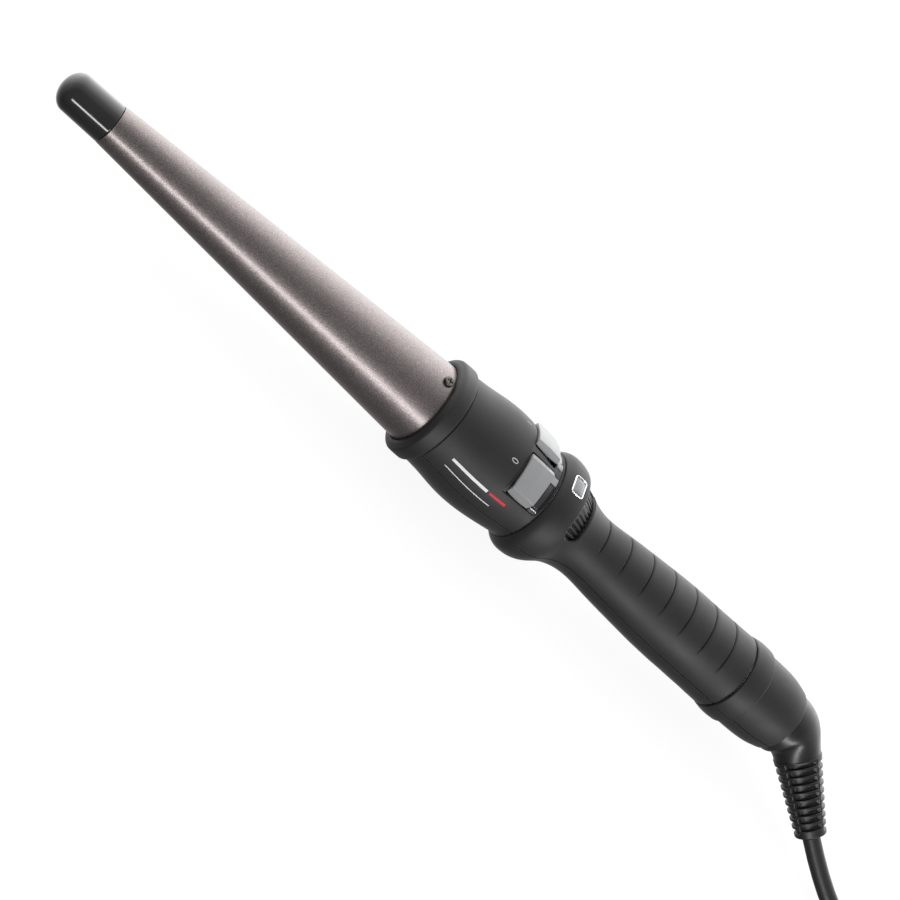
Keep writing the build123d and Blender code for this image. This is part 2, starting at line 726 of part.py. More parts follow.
WAND = {
    "tip_cap": tip_cap,
    "barrel_tube": barrel_tube,
    "barrel_bush": barrel_bush,
    "barrel_screws": barrel_screws,
    "heater_block_upper": lambda: heater_block(True),
    "heater_block_lower": lambda: heater_block(False),
    "ceramic_heater": ceramic_heater,
    "electrode_strips": electrode_strips,
    "temperature_sensor": temperature_sensor,
    "collar_ring": collar_ring,
    "body_upper": body_upper,
    "body_lower": body_lower,
    "case_screws": case_screws,
    "switch_frame": switch_frame,
    "status_windows": status_windows,
    "trim_strips": trim_strips,
    "key_off": lambda: key(1),
    "key_on": lambda: key(-1),
    "plunger_off": lambda: tact_plunger(1),
    "plunger_on": lambda: tact_plunger(-1),
    "tact_switch_off": lambda: tact_switch(1),
    "tact_switch_on": lambda: tact_switch(-1),
    "switch_bracket": switch_bracket,
    "handle_upper": handle_upper,
    "handle_lower": handle_lower,
    "indicator_bezel": indicator_bezel,
    "indicator_lens": indicator_lens,
    "indicator_lamp": indicator_lamp,
    "thermostat_ring": thermostat_ring,
    "dial_carrier": dial_carrier,
    "resistor_track": resistor_track,
    "dial_wiper": dial_wiper,
    "circuit_board": circuit_board,
    "triac": triac,
    "film_capacitor": film_capacitor,
    "electrolytic_capacitor": electrolytic_capacitor,
    "control_chip": control_chip,
    "board_connector": board_connector,
    "thermal_fuse": thermal_fuse,
    "heater_leads": heater_leads,
    "sensor_leads": sensor_leads,
    "supply_leads": supply_leads,
    "rear_upper": lambda: half_turn(rear_area(), True),
    "rear_lower": lambda: half_turn(rear_area(), False),
    "swivel_bush": swivel_bush,
    "brush_holder": brush_holder,
    "contact_brushes": contact_brushes,
    "slip_rings": slip_rings,
    "swivel_elbow": swivel_elbow,
    "strain_relief": strain_relief,
}

CORD_SET = {
    "cord_lead": lambda: cord_tube(LEAD_ROUTE),
    "cord_tail": lambda: cord_tube(TAIL_ROUTE),
    "cord_hank": cord_hank,
    "cord_tie": tie_loop,
    "plug_body": plug_body,
    "plug_relief": plug_relief,
    "plug_pins": plug_pins,
}


def written(name, made, place):
    solids = [place * s for s in (made if isinstance(made, (list, tuple)) else [made])]
    export_step(Compound(children=[s for part in solids for s in part.solids()]), f"parts/{name}.step")


def main():
    os.makedirs("parts", exist_ok=True)
    for name, make in WAND.items():
        written(name, make(), Pos(-LENGTH / 2, 0, AXIS_HEIGHT))
    for name, make in CORD_SET.items():
        written(name, make(), Pos(0, 0, 0))


main()
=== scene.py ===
"""Looks of a conical curling wand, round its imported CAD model. Plain numbers are millimetres and degrees."""
import json
import math

import bmesh
import bpy
import numpy as np
from mathutils import Matrix, Vector


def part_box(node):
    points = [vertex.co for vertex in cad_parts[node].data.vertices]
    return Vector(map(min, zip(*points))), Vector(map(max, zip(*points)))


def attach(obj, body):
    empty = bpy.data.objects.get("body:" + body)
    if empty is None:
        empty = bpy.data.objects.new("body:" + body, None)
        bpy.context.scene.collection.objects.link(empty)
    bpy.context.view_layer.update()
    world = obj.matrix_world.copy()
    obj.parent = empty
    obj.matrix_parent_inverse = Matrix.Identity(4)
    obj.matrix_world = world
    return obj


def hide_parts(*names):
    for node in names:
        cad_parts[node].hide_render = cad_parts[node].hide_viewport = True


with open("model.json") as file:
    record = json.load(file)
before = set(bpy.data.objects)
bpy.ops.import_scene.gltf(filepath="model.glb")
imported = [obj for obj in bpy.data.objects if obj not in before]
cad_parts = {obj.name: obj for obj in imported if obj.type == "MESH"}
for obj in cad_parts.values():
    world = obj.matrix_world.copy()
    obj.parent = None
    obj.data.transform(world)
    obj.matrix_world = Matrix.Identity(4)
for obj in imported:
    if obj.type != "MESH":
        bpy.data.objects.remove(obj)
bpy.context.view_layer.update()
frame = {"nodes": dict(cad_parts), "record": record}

MM = 0.001
TIP_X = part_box("tip_cap")[0].x
AXIS_Z = sum(corner.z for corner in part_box("barrel_tube")) / 2
REAR_END = (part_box("rear_upper")[1].x - TIP_X) / MM

# ---------------------------------------------------------------- outlines: (station from the tip, radius)

BODY_FRONT, BODY_REAR = 170.5, 214.9
HANDLE_FRONT, HANDLE_REAR = 215.2, 321.4
BODY_LINE = [(170.5, 18.4), (178.0, 19.0), (185.5, 20.0), (193.7, 20.4), (203.0, 19.7), (212.7, 18.3)]
FLANK_LINE = [(212.7, 18.3), (BODY_REAR, 18.25)]
HANDLE_LINE = [
    (HANDLE_FRONT, 18.7), (216.2, 19.6), (218.0, 20.7), (220.5, 21.1), (224.4, 20.65), (228.3, 18.95),
    (232.2, 16.3), (236.5, 14.3), (244.0, 12.75), (256.0, 13.3), (272.0, 14.5), (288.5, 15.4),
    (305.0, 15.55), (HANDLE_REAR, 15.8),
]
BAND_LINE = [(322.3, 16.0), (326.0, 16.6), (331.0, 16.5)]
REAR_LINE = [(331.6, 15.6), (340.0, 15.55), (347.8, 14.86), (REAR_END, 13.6)]
WALL = 1.6  # how thick the visible shells are
PRESS_ANGLE = 29.75  # of the keys' travel, from the top
DIAL_FRONT, DIAL_REAR = 226.3, 234.2
DIAL_CONE = [(DIAL_FRONT, 17.8), (DIAL_REAR, 14.0)]
PIVOT = 359.0  # where the cord's way out leaves the wand's axis
CORD_WAY = Vector((34.9, -23.9, -11.1)).normalized()
RELIEF_START, RELIEF_END = 12.8, 43.7  # along that way, from the pivot
RELIEF_BIG, RELIEF_SMALL = 9.2, 6.0
RELIEF_RISE = Vector((0, 1.05, 0.93))  # of the end at the elbow, off that way
SLOTS_FACE = Vector((-0.4, -0.6, 0.7))
CORD = 6.8  # across


def spline(points):
    """A natural cubic through the points, as a function of the station."""
    x, y = (np.array(v, float) for v in zip(*points))
    n = len(x)
    h = np.diff(x)
    a = np.eye(n)
    b = np.zeros(n)
    for i in range(1, n - 1):
        a[i, i - 1 : i + 2] = h[i - 1], 2 * (h[i - 1] + h[i]), h[i]
        b[i] = 6 * ((y[i + 1] - y[i]) / h[i] - (y[i] - y[i - 1]) / h[i - 1])
    m = np.linalg.solve(a, b)

    def at(s):
        s = np.clip(s, x[0], x[-1])
        i = np.clip(np.searchsorted(x, s, side="right") - 1, 0, n - 2)
        t, u = (s - x[i]) / h[i], (x[i + 1] - s) / h[i]
        return u * y[i] + t * y[i + 1] + h[i] ** 2 / 6 * ((u**3 - u) * m[i] + (t**3 - t) * m[i + 1])

    return at


body_radius = spline(BODY_LINE)
handle_radius = spline(HANDLE_LINE)
band_radius = spline(BAND_LINE)
rear_radius = spline(REAR_LINE)


def smooth(low, high, v):
    """0 below low, 1 above high, and a smooth step between."""
    t = np.clip((v - low) / (high - low), 0, 1)
    return t * t * (3 - 2 * t)


def rounded(distance, radius):
    """How far a rounded edge falls, at a distance inside the edge."""
    d = np.clip(distance, 0, radius)
    return radius - np.sqrt(np.maximum(radius**2 - (radius - d) ** 2, 0))


def stations(start, end, step, *fine):
    """Stations from start to end, closer together inside each (from, to, step) range."""
    out = [start]
    while out[-1] < end - 1e-6:
        here = out[-1]
        now = min([step] + [s for a, b, s in fine if a - 1e-6 <= here < b - 1e-6])
        limit = min([end] + [a for a, b, s in fine if a > here + 1e-6 and s < now])
        out.append(min(here + now, limit))
    return np.array(out)


# ---------------------------------------------------------------- mesh helpers


def link(mesh, name, body, material, slot, *replaced):
    """A finished piece: in the scene, riding on its body, with its material; its slot is not used."""
    obj = bpy.data.objects.new(name, mesh)
    bpy.context.scene.collection.objects.link(obj)
    mesh.shade_smooth()
    mesh.materials.append(material)
    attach(obj, body)
    if replaced:
        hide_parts(*replaced)
    return obj


def mesh_of(name, points, faces):
    """points in millimetres from the tip, on the wand's axis."""
    points = np.asarray(points, float) * MM + (TIP_X, 0, AXIS_Z)
    mesh = bpy.data.meshes.new(name)
    mesh.from_pydata(points.tolist(), [], [tuple(int(i) for i in f) for f in faces])
    mesh.validate()
    mesh.update()
    return mesh


def closed_outward(mesh):
    """Turns a closed mesh's faces outward."""
    work = bmesh.new()
    work.from_mesh(mesh)
    bmesh.ops.recalc_face_normals(work, faces=work.faces)
    work.to_mesh(mesh)
    work.free()
    return mesh


def quads(rows, columns, start, wrap, flip):
    """The faces of a grid of points, numbered row by row from start."""
    i, j = np.meshgrid(np.arange(rows - 1), np.arange(columns if wrap else columns - 1), indexing="ij")
    k = (j + 1) % columns
    a, b, c, d = (start + r * columns + s for r, s in ((i, j), (i, k), (i + 1, k), (i + 1, j)))
    f = np.stack([a, b, c, d], -1).reshape(-1, 4)
    return f[:, ::-1] if flip else f


def loop_faces(rows, columns):
    """The faces of a grid of points that closes both ways."""
    i, j = np.meshgrid(np.arange(rows), np.arange(columns), indexing="ij")
    k, m = (i + 1) % rows, (j + 1) % columns
    return np.stack([i * columns + j, i * columns + m, k * columns + m, k * columns + j], -1).reshape(-1, 4)


def corner_path(half_u, half_v, steps):
    """The four corners of a rectangle, each with a quarter turn of angles, as (u, v, angle)."""
    out = []
    for su, sv, start in ((1, 1, 0), (-1, 1, 90), (-1, -1, 180), (1, -1, 270)):
        turns = (math.radians(start + 90 * i / steps) for i in range(steps + 1))
        out += [(su * half_u, sv * half_v, turn) for turn in turns]
    return out


def polar(x, angle, radius):
    """Angles are degrees from the top towards the near side."""
    t = np.radians(angle)
    return np.stack([x, -radius * np.sin(t), radius * np.cos(t)], -1)


def around(name, xs, angles, outer, inner, wrap=False):
    """A closed shell between two surfaces given as radius(station, angle)."""
    x, a = np.meshgrid(xs, angles, indexing="ij")
    rows, columns = x.shape
    top, low = polar(x, a, outer(x, a)), polar(x, a, inner(x, a))
    points = np.concatenate([top.reshape(-1, 3), low.reshape(-1, 3)])
    n = rows * columns
    faces = [quads(rows, columns, 0, wrap, False), quads(rows, columns, n, wrap, True)]
    ring = np.arange(columns)
    step = np.roll(ring, -1) if wrap else ring[1:]
    ring = ring if wrap else ring[:-1]
    last = (rows - 1) * columns
    faces.append(np.stack([ring, ring + n, step + n, step], -1))
    faces.append(np.stack([last + ring, last + step, last + step + n, last + ring + n], -1))
    if not wrap:
        line = np.arange(rows - 1) * columns
        faces.append(np.stack([line, line + columns, line + columns + n, line + n], -1))
        far = line + columns - 1
        faces.append(np.stack([far, far + n, far + columns + n, far + columns], -1))
    return mesh_of(name, points, np.concatenate(faces))


def turned(outline, segments):
    """The points and the faces of an outline of (station, radius) turned a full turn, open at its ends."""
    angles = np.arange(segments) * 360 / segments
    x, a = np.meshgrid([p[0] for p in outline], angles, indexing="ij")
    r = np.repeat(np.array([[p[1]] for p in outline]), segments, 1)
    return polar(x, a, r).reshape(-1, 3), list(quads(len(outline), segments, 0, True, False))


def lathe(name, outline, segments=160):
    """A solid turned from an outline whose two ends are closed with flat caps."""
    points, faces = turned(outline, segments)
    first, last = np.arange(segments), (len(outline) - 1) * segments + np.arange(segments)
    return mesh_of(name, points, faces + [tuple(first[::-1]), tuple(last)])


def lathe_ring(name, outline, segments=192):
    """A ring turned from an outline that runs back to its start, off the axis."""
    points, faces = turned(outline, segments)
    ring = np.arange(segments)
    step = np.roll(ring, -1)
    last = (len(outline) - 1) * segments
    return mesh_of(name, points, faces + list(np.stack([last + ring, last + step, step, ring], -1)))


def edge_arc(x, r, radius, start, end, count=6):
    """Points of a rounded edge about (x, r), from one angle to another, in degrees from +X."""
    turns = [math.radians(start + (end - start) * i / count) for i in range(count + 1)]
    return [(x + radius * math.cos(t), r + radius * math.sin(t)) for t in turns]


# ---------------------------------------------------------------- materials


class Paint:
    """A procedural material in the making: a Principled shader with helpers for what feeds it."""

    def __init__(self, name, color, roughness, metallic=0.0, specular=0.5, coat=0.0, coat_roughness=0.05):
        self.material = bpy.data.materials.new(name)
        self.material.use_nodes = True
        self.nodes, self.links = self.material.node_tree.nodes, self.material.node_tree.links
        self.shader = self.nodes["Principled BSDF"]
        self.shader.inputs["Base Color"].default_value = (*color, 1)
        self.shader.inputs["Roughness"].default_value = roughness
        self.shader.inputs["Metallic"].default_value = metallic
        self.shader.inputs["Specular IOR Level"].default_value = specular
        self.shader.inputs["Coat Weight"].default_value = coat
        self.shader.inputs["Coat Roughness"].default_value = coat_roughness
        self.place = self.nodes.new("ShaderNodeTexCoord").outputs["Object"]

    def noise(self, size_mm, detail=2.0, stretch=(1, 1, 1)):
        """Noise whose grain is about size_mm across."""
        mapping = self.nodes.new("ShaderNodeMapping")
        mapping.inputs["Scale"].default_value = stretch
        self.links.new(self.place, mapping.inputs["Vector"])
        texture = self.nodes.new("ShaderNodeTexNoise")
        texture.inputs["Scale"].default_value = 1 / (size_mm * MM)
        texture.inputs["Detail"].default_value = detail
        self.links.new(mapping.outputs["Vector"], texture.inputs["Vector"])
        return texture.outputs["Fac"]

    def ramp(self, value, *stops):
        ramp = self.nodes.new("ShaderNodeValToRGB")
        elements = ramp.color_ramp.elements
        while len(elements) < len(stops):
            elements.new(0.5)
        for element, (position, color) in zip(elements, stops):
            element.position = position
            element.color = (*color, 1) if hasattr(color, "__len__") else (color, color, color, 1)
        self.links.new(value, ramp.inputs["Fac"])
        return ramp.outputs["Color"]

    def color(self, output):
        self.links.new(output, self.shader.inputs["Base Color"])
        return self

    def rough(self, value, low, high):
        self.links.new(self.ramp(value, (0.3, low), (0.7, high)), self.shader.inputs["Roughness"])
        return self

    def bump(self, value, depth_mm, strength=1.0):
        bump = self.nodes.new("ShaderNodeBump")
        bump.inputs["Strength"].default_value = strength
        bump.inputs["Distance"].default_value = depth_mm * MM
        self.links.new(value, bump.inputs["Height"])
        previous = self.shader.inputs["Normal"]
        if previous.is_linked:
            self.links.new(previous.links[0].from_socket, bump.inputs["Normal"])
        self.links.new(bump.outputs["Normal"], self.shader.inputs["Normal"])
        return self


def shade(color, factor):
    return tuple(min(1.0, c * factor) for c in color)


def titanium_coating():
    base = (0.218, 0.192, 0.188)
    paint = Paint("titanium_coating", base, 0.34, metallic=0.92)
    grain = paint.noise(0.28, detail=3)
    cloud = paint.noise(9.0, detail=3)
    mix = paint.nodes.new("ShaderNodeMix")
    mix.data_type = "RGBA"
    mix.blend_type = "MULTIPLY"
    mix.inputs["Factor"].default_value = 1.0
    speckle = paint.ramp(grain, (0.38, shade(base, 0.72)), (0.52, base), (0.66, shade(base, 1.55)))
    paint.links.new(speckle, mix.inputs["A"])
    paint.links.new(paint.ramp(cloud, (0.3, 0.93), (0.7, 1.0)), mix.inputs["B"])
    paint.color(mix.outputs["Result"])
    paint.rough(grain, 0.30, 0.40)
    return paint.bump(grain, 0.012, 0.5).material


def soft_touch(name, base, rough=(0.50, 0.60), grain_mm=0.22, sheen=0.0):
    paint = Paint(name, base, 0.5, specular=0.45)
    paint.shader.inputs["Sheen Weight"].default_value = sheen
    paint.shader.inputs["Sheen Roughness"].default_value = 0.3
    grain = paint.noise(grain_mm, detail=2)
    wear = paint.noise(16.0, detail=4)
    paint.color(paint.ramp(wear, (0.3, shade(base, 0.94)), (0.7, shade(base, 1.07))))
    paint.rough(wear, *rough)
    return paint.bump(grain, 0.014, 0.45).material


def gloss(name, base, rough=(0.09, 0.15), coat=0.4):
    paint = Paint(name, base, 0.12, specular=0.5, coat=coat, coat_roughness=0.04)
    smear = paint.noise(6.0, detail=4)
    paint.color(paint.ramp(smear, (0.3, shade(base, 0.9)), (0.7, shade(base, 1.1))))
    return paint.rough(smear, *rough).material


def metal(name, base, rough=(0.14, 0.24), grain_mm=0.5, stretch=(0.1, 1, 1)):
    paint = Paint(name, base, 0.2, metallic=1.0)
    brushed = paint.noise(grain_mm, detail=3, stretch=stretch)
    paint.color(paint.ramp(brushed, (0.3, shade(base, 0.92)), (0.7, base)))
    paint.rough(brushed, *rough)
    return paint.bump(brushed, 0.004, 0.3).material


def woven_tie():
    base = (0.020, 0.020, 0.022)
    paint = Paint("woven_tie", base, 0.85, specular=0.2)
    loops = paint.nodes.new("ShaderNodeTexVoronoi")
    loops.inputs["Scale"].default_value = 1 / (0.7 * MM)
    paint.links.new(paint.place, loops.inputs["Vector"])
    paint.color(paint.ramp(loops.outputs["Distance"], (0.1, shade(base, 1.8)), (0.7, shade(base, 0.6))))
    return paint.bump(loops.outputs["Distance"], 0.25, 0.8).material


MATERIALS = {
    "barrel": titanium_coating(),
    "tip": gloss("tip_plastic", (0.010, 0.010, 0.011)),
    "shell": soft_touch("soft_touch_shell", (0.0108, 0.0108, 0.0111), sheen=0.25),
    "collar": soft_touch("collar_plastic", (0.0095, 0.0096, 0.0098), rough=(0.46, 0.56)),
    "key": soft_touch("key_plastic", (0.272, 0.275, 0.280), rough=(0.27, 0.34), grain_mm=0.12),
    "frame": gloss("frame_plastic", (0.010, 0.010, 0.011), rough=(0.16, 0.24)),
    "panel": soft_touch("panel_plastic", (0.0100, 0.0102, 0.0108), rough=(0.36, 0.44), grain_mm=0.12),
    "window": gloss("smoked_window", (0.022, 0.020, 0.026), rough=(0.08, 0.14), coat=0.6),
    "chrome": metal("chrome_trim", (0.82, 0.83, 0.85), rough=(0.07, 0.12)),
    "lens": gloss("frosted_lens", (0.20, 0.20, 0.21), rough=(0.16, 0.24), coat=0.5),
    "dial": gloss("dial_plastic", (0.0065, 0.0065, 0.007), rough=(0.28, 0.36), coat=0.0),
    "elbow": gloss("elbow_plastic", (0.0075, 0.0075, 0.008), rough=(0.30, 0.38), coat=0.0),
    "relief": soft_touch("relief_rubber", (0.0085, 0.0085, 0.009), rough=(0.34, 0.44)),
    "cord": soft_touch("cord_jacket", (0.012, 0.012, 0.013), rough=(0.40, 0.50), grain_mm=0.5),
    "steel": metal("screw_steel", (0.10, 0.095, 0.09), rough=(0.3, 0.42)),
    "brass": metal("brass", (0.75, 0.55, 0.28)),
    "aluminium": metal("cast_aluminium", (0.62, 0.62, 0.64), rough=(0.35, 0.5)),
    "pins": metal("pin_nickel", (0.70, 0.68, 0.64), rough=(0.16, 0.28), stretch=(1, 1, 1)),
    "moulding": soft_touch("inner_moulding", (0.03, 0.03, 0.03)),
    "ceramic": soft_touch("fired_ceramic", (0.62, 0.58, 0.50), rough=(0.6, 0.75)),
    "board": gloss("circuit_lacquer", (0.02, 0.12, 0.05), rough=(0.25, 0.35)),
    "lead": soft_touch("lead_insulation", (0.35, 0.03, 0.025)),
    "print_white": soft_touch("print_white", (0.78, 0.78, 0.78), rough=(0.5, 0.6)),
    "print_red": soft_touch("print_red", (0.50, 0.008, 0.020), rough=(0.45, 0.55)),
    "print_grey": soft_touch("print_grey", (0.42, 0.42, 0.42), rough=(0.5, 0.6)),
    "tie": woven_tie(),
}

SLOT_MATERIALS = {
    "barrel_coating": "barrel", "gloss_black": "frame", "matte_black": "shell", "key_grey": "key",
    "dark_window": "window", "chrome": "chrome", "lens": "lens", "dial_black": "dial",
    "aluminium": "aluminium",
    "ceramic": "ceramic", "phenolic": "moulding", "steel": "steel", "brass": "brass", "board": "board",
    "component": "moulding", "lamp": "lead", "lead_red": "lead", "cord_black": "cord", "plug_metal": "pins",
    "tie": "tie",
}


def paint_cad_nodes():
    """Every CAD node gets the procedural material of its slot, shown or not."""
    slots = {s["node"]: s["material_slot"] for s in frame["record"]["subparts"]}
    for name, obj in frame["nodes"].items():
        material = MATERIALS[SLOT_MATERIALS[slots[name]]]
        for holder in obj.material_slots:
            holder.material = material
        if not obj.material_slots:
            obj.data.materials.append(material)


# ---------------------------------------------------------------- barrel


def barrel_radius(x):
    return 7.36 + 0.0601 * (x - 19.8)


def make_barrel():
    start, cone_end, end, wall, lip = 19.9, 163.0, 170.0, 0.9, 0.3
    outline = [(start, barrel_radius(start) - wall)]
    outline += edge_arc(start + lip, barrel_radius(start) - lip, lip, 180, 90)
    outline += [(x, barrel_radius(min(x, cone_end))) for x in np.linspace(start + 4, end, 40)]
    outline += [(end, barrel_radius(cone_end) - wall)]
    outline += [(x, barrel_radius(min(x, cone_end)) - wall) for x in np.linspace(end - 2, start + 2, 8)]
    mesh = lathe_ring("barrel_cone", outline)
    link(mesh, "barrel_cone", "handle", MATERIALS["barrel"], "barrel_coating", "barrel_tube")


def make_tip():
    dome, radius, end, end_radius, lip = 5.4, 7.16, 19.75, 7.34, 0.35
    turns = np.radians(np.linspace(0.5, 90, 26))
    outline = [(dome - dome * math.cos(t), radius * math.sin(t)) for t in turns]
    for x in np.linspace(7, end - 0.5, 10):
        outline.append((x, radius + (end_radius - radius) * (x - dome) / (end - dome)))
    outline += edge_arc(end - lip, end_radius - lip, lip, 80, 0) + [(end, 6.2), (end + 3, 6.15)]
    mesh = lathe("tip_dome", outline)
    link(mesh, "tip_dome", "handle", MATERIALS["tip"], "gloss_black", "tip_cap")


def make_collar():
    outline = [(162.9, 16.1), (162.75, 16.6), (163.1, 18.0), *edge_arc(165.1, 18.2, 1.45, 165, 95, 8)]
    outline += [(166.2, 19.7), (167.6, 19.72), *edge_arc(169.0, 18.55, 1.15, 80, 5, 7)]
    outline += [(170.2, 17.6), (170.2, 16.1)]
    mesh = lathe_ring("collar", outline)
    link(mesh, "collar", "handle", MATERIALS["collar"], "matte_black", "collar_ring")


# ---------------------------------------------------------------- shells

SEAM_DEPTH, SEAM_HALF_WIDTH = 0.5, 0.36  # the shadow line along the seam
SEAM_ANGLES = np.linspace(87.6, 89.75, 16)
SHELL_ANGLES = np.concatenate([-SEAM_ANGLES[::-1], np.linspace(-87.2, 87.2, 380), SEAM_ANGLES])


def seam_drop(x, angle, radius):
    """The step along a shell's two long edges."""
    inward = np.radians(89.75 - np.abs(angle)) * radius
    return SEAM_DEPTH * (1 - smooth(0.3 * SEAM_HALF_WIDTH, SEAM_HALF_WIDTH, inward))


def body_line(x):
    """The body's outline, with the short flank that meets the handle."""
    return np.where(x <= BODY_LINE[-1][0], body_radius(x), np.interp(x, *zip(*FLANK_LINE)))


def box_distance(u, v, half_u, half_v, corner):
    """Signed distance to a rounded rectangle, negative inside."""
    du, dv = np.abs(u) - half_u + corner, np.abs(v) - half_v + corner
    return np.minimum(np.maximum(du, dv), 0) + np.hypot(np.maximum(du, 0), np.maximum(dv, 0)) - corner


def recess(distance, depth, lip=0.25, wall=0.3):
    """How far a sunk area falls: a rounded lip outside its edge and a steep wall inside it."""
    return depth * smooth(0, wall, -distance) + rounded(np.maximum(distance, 0) + 0.02, lip) * (distance > 0)


def body_outside(upper):
    def radius(x, angle):
        r = body_line(x)
        r = r - seam_drop(x, angle, r)
        r = r - rounded(x - BODY_FRONT, 0.35) - rounded(BODY_REAR - x, 0.15)
        if upper:
            middle, half_long, half_angle, about, depth = 205.95, 8.2, 55.2, 19.5, 3.6
            across = np.radians(angle) * about
            half_wide = math.radians(half_angle) * about
            r = r - recess(box_distance(x - middle, across, half_long, half_wide, 1.0), depth)
        return r

    return radius


def make_shell(name, xs, outside, replaced, upper):
    """Half a shell, given how far out its surface is as outside(station, angle from its middle)."""
    turn = 0 if upper else 180

    def outer(x, angle):
        return outside(x, angle - turn)

    def inner(x, angle):
        return np.minimum(outer(x, angle) - 0.8, inner_limit(x))

    mesh = around(name, xs, SHELL_ANGLES + turn, outer, inner)
    link(mesh, name, "handle", MATERIALS["shell"], "matte_black", replaced)


def inner_limit(x):
    """The inside of the shells: the outline without the recesses, less the wall."""
    outline = np.where(x > HANDLE_FRONT - 0.1, handle_radius(x), body_line(x))
    outline = np.where(x > 321.8, np.where(x < 331.3, band_radius(x), rear_radius(x)), outline)
    return outline - WALL


def make_body_shells():
    fine = [(170.5, 171.5, 0.1), (196.8, 199.0, 0.12), (213.0, BODY_REAR, 0.1)]
    xs = stations(BODY_FRONT, BODY_REAR, 0.45, *fine)
    make_shell("body_shell_upper", xs, body_outside(True), "body_upper", True)
    make_shell("body_shell_lower", xs, body_outside(False), "body_lower", False)


GROOVE_PITCH = 10.93
GROOVES = [245.0 + GROOVE_PITCH * i for i in range(7)]
LAMP_X = 221.0  # the middle of the indicator
LAMP_RADIUS = 20.9


def slot_distance(x, angle):
    """Signed distance to the thermostat's slot, whose ends are round."""
    across = np.maximum(np.abs(np.radians(angle)) - math.radians(39), 0) * 17.0
    return np.hypot(x - (DIAL_FRONT + DIAL_REAR) / 2, across) - (DIAL_REAR - DIAL_FRONT) / 2


def handle_outside(upper):
    def radius(x, angle):
        r = handle_radius(x)
        r = r - seam_drop(x, angle, r) - rounded(x - HANDLE_FRONT, 0.2) - rounded(HANDLE_REAR - x, 0.3)
        if upper:
            for i, groove in enumerate(GROOVES):
                fade = 1 - smooth(26 + 2.0 * i, 44 + 2.0 * i, np.abs(angle))
                r = r - 0.72 * fade * np.exp(-(((x - groove) / 0.32) ** 2))
                r = r + 0.10 * fade * np.exp(-(((x - groove - 1.6) / 1.4) ** 2))
            r = r - recess(slot_distance(x, angle), 3.4, lip=0.5)
            bezel = box_distance(x - LAMP_X, np.radians(angle) * LAMP_RADIUS, 2.9, 4.1, 1.3)
            r = r - recess(bezel, 1.4, lip=0.15)
        else:
            ripple = np.exp(-((angle / 34) ** 2)) * smooth(270, 300, x) * (1 - smooth(312, 320, x))
            r = r + 0.18 * ripple * np.sin((x - 270) * 2 * math.pi / GROOVE_PITCH)
        return r

    return radius


def make_handle_shells():
    fine = [(HANDLE_FRONT, 216.2, 0.1), (217.4, 235.2, 0.16), (321.0, 321.4, 0.08)]
    fine += [(g - 0.9, g + 0.9, 0.09) for g in GROOVES]
    xs = stations(HANDLE_FRONT, HANDLE_REAR, 0.8, *fine)
    make_shell("handle_shell_upper", xs, handle_outside(True), "handle_upper", True)
    make_shell("handle_shell_lower", xs, handle_outside(False), "handle_lower", False)


def rear_outside(x, angle):
    step = smooth(331.0, 331.9, x)
    r = band_radius(np.minimum(x, 331.0)) * (1 - step) + rear_radius(np.maximum(x, 331.6)) * step
    return r - seam_drop(x, angle, r) - rounded(x - 322.3, 0.5) - rounded(REAR_END - x, 0.5)


def make_rear_shells():
    fine = [(322.3, 323.2, 0.1), (330.6, 332.4, 0.1), (REAR_END - 0.9, REAR_END, 0.1)]
    xs = stations(322.3, REAR_END, 0.5, *fine)
    make_shell("rear_shell_upper", xs, rear_outside, "rear_upper", True)
    make_shell("rear_shell_lower", xs, rear_outside, "rear_lower", False)


# ---------------------------------------------------------------- keys and what is round them


def key_point(side, x, t, w):
    """From a key's own frame, t away from the top and w along its travel, to the wand's."""
    a = math.radians(PRESS_ANGLE)
    return np.stack([x, -side * (w * math.sin(a) + t * math.cos(a)), w * math.cos(a) - t * math.sin(a)], -1)


def squircle(u, v):
    """Maps a square grid to a square with round corners."""
    return u * np.sqrt(np.maximum(1 - v * v / 2 * 0.16, 0)), v * np.sqrt(np.maximum(1 - u * u / 2 * 0.16, 0))


KEY_UNDERSIDE = 18.3  # its radius, which leaves the travel of 1.2 above the recess
KEY_TAPER = 0.80  # of its width at the underside, as the recess's walls lean


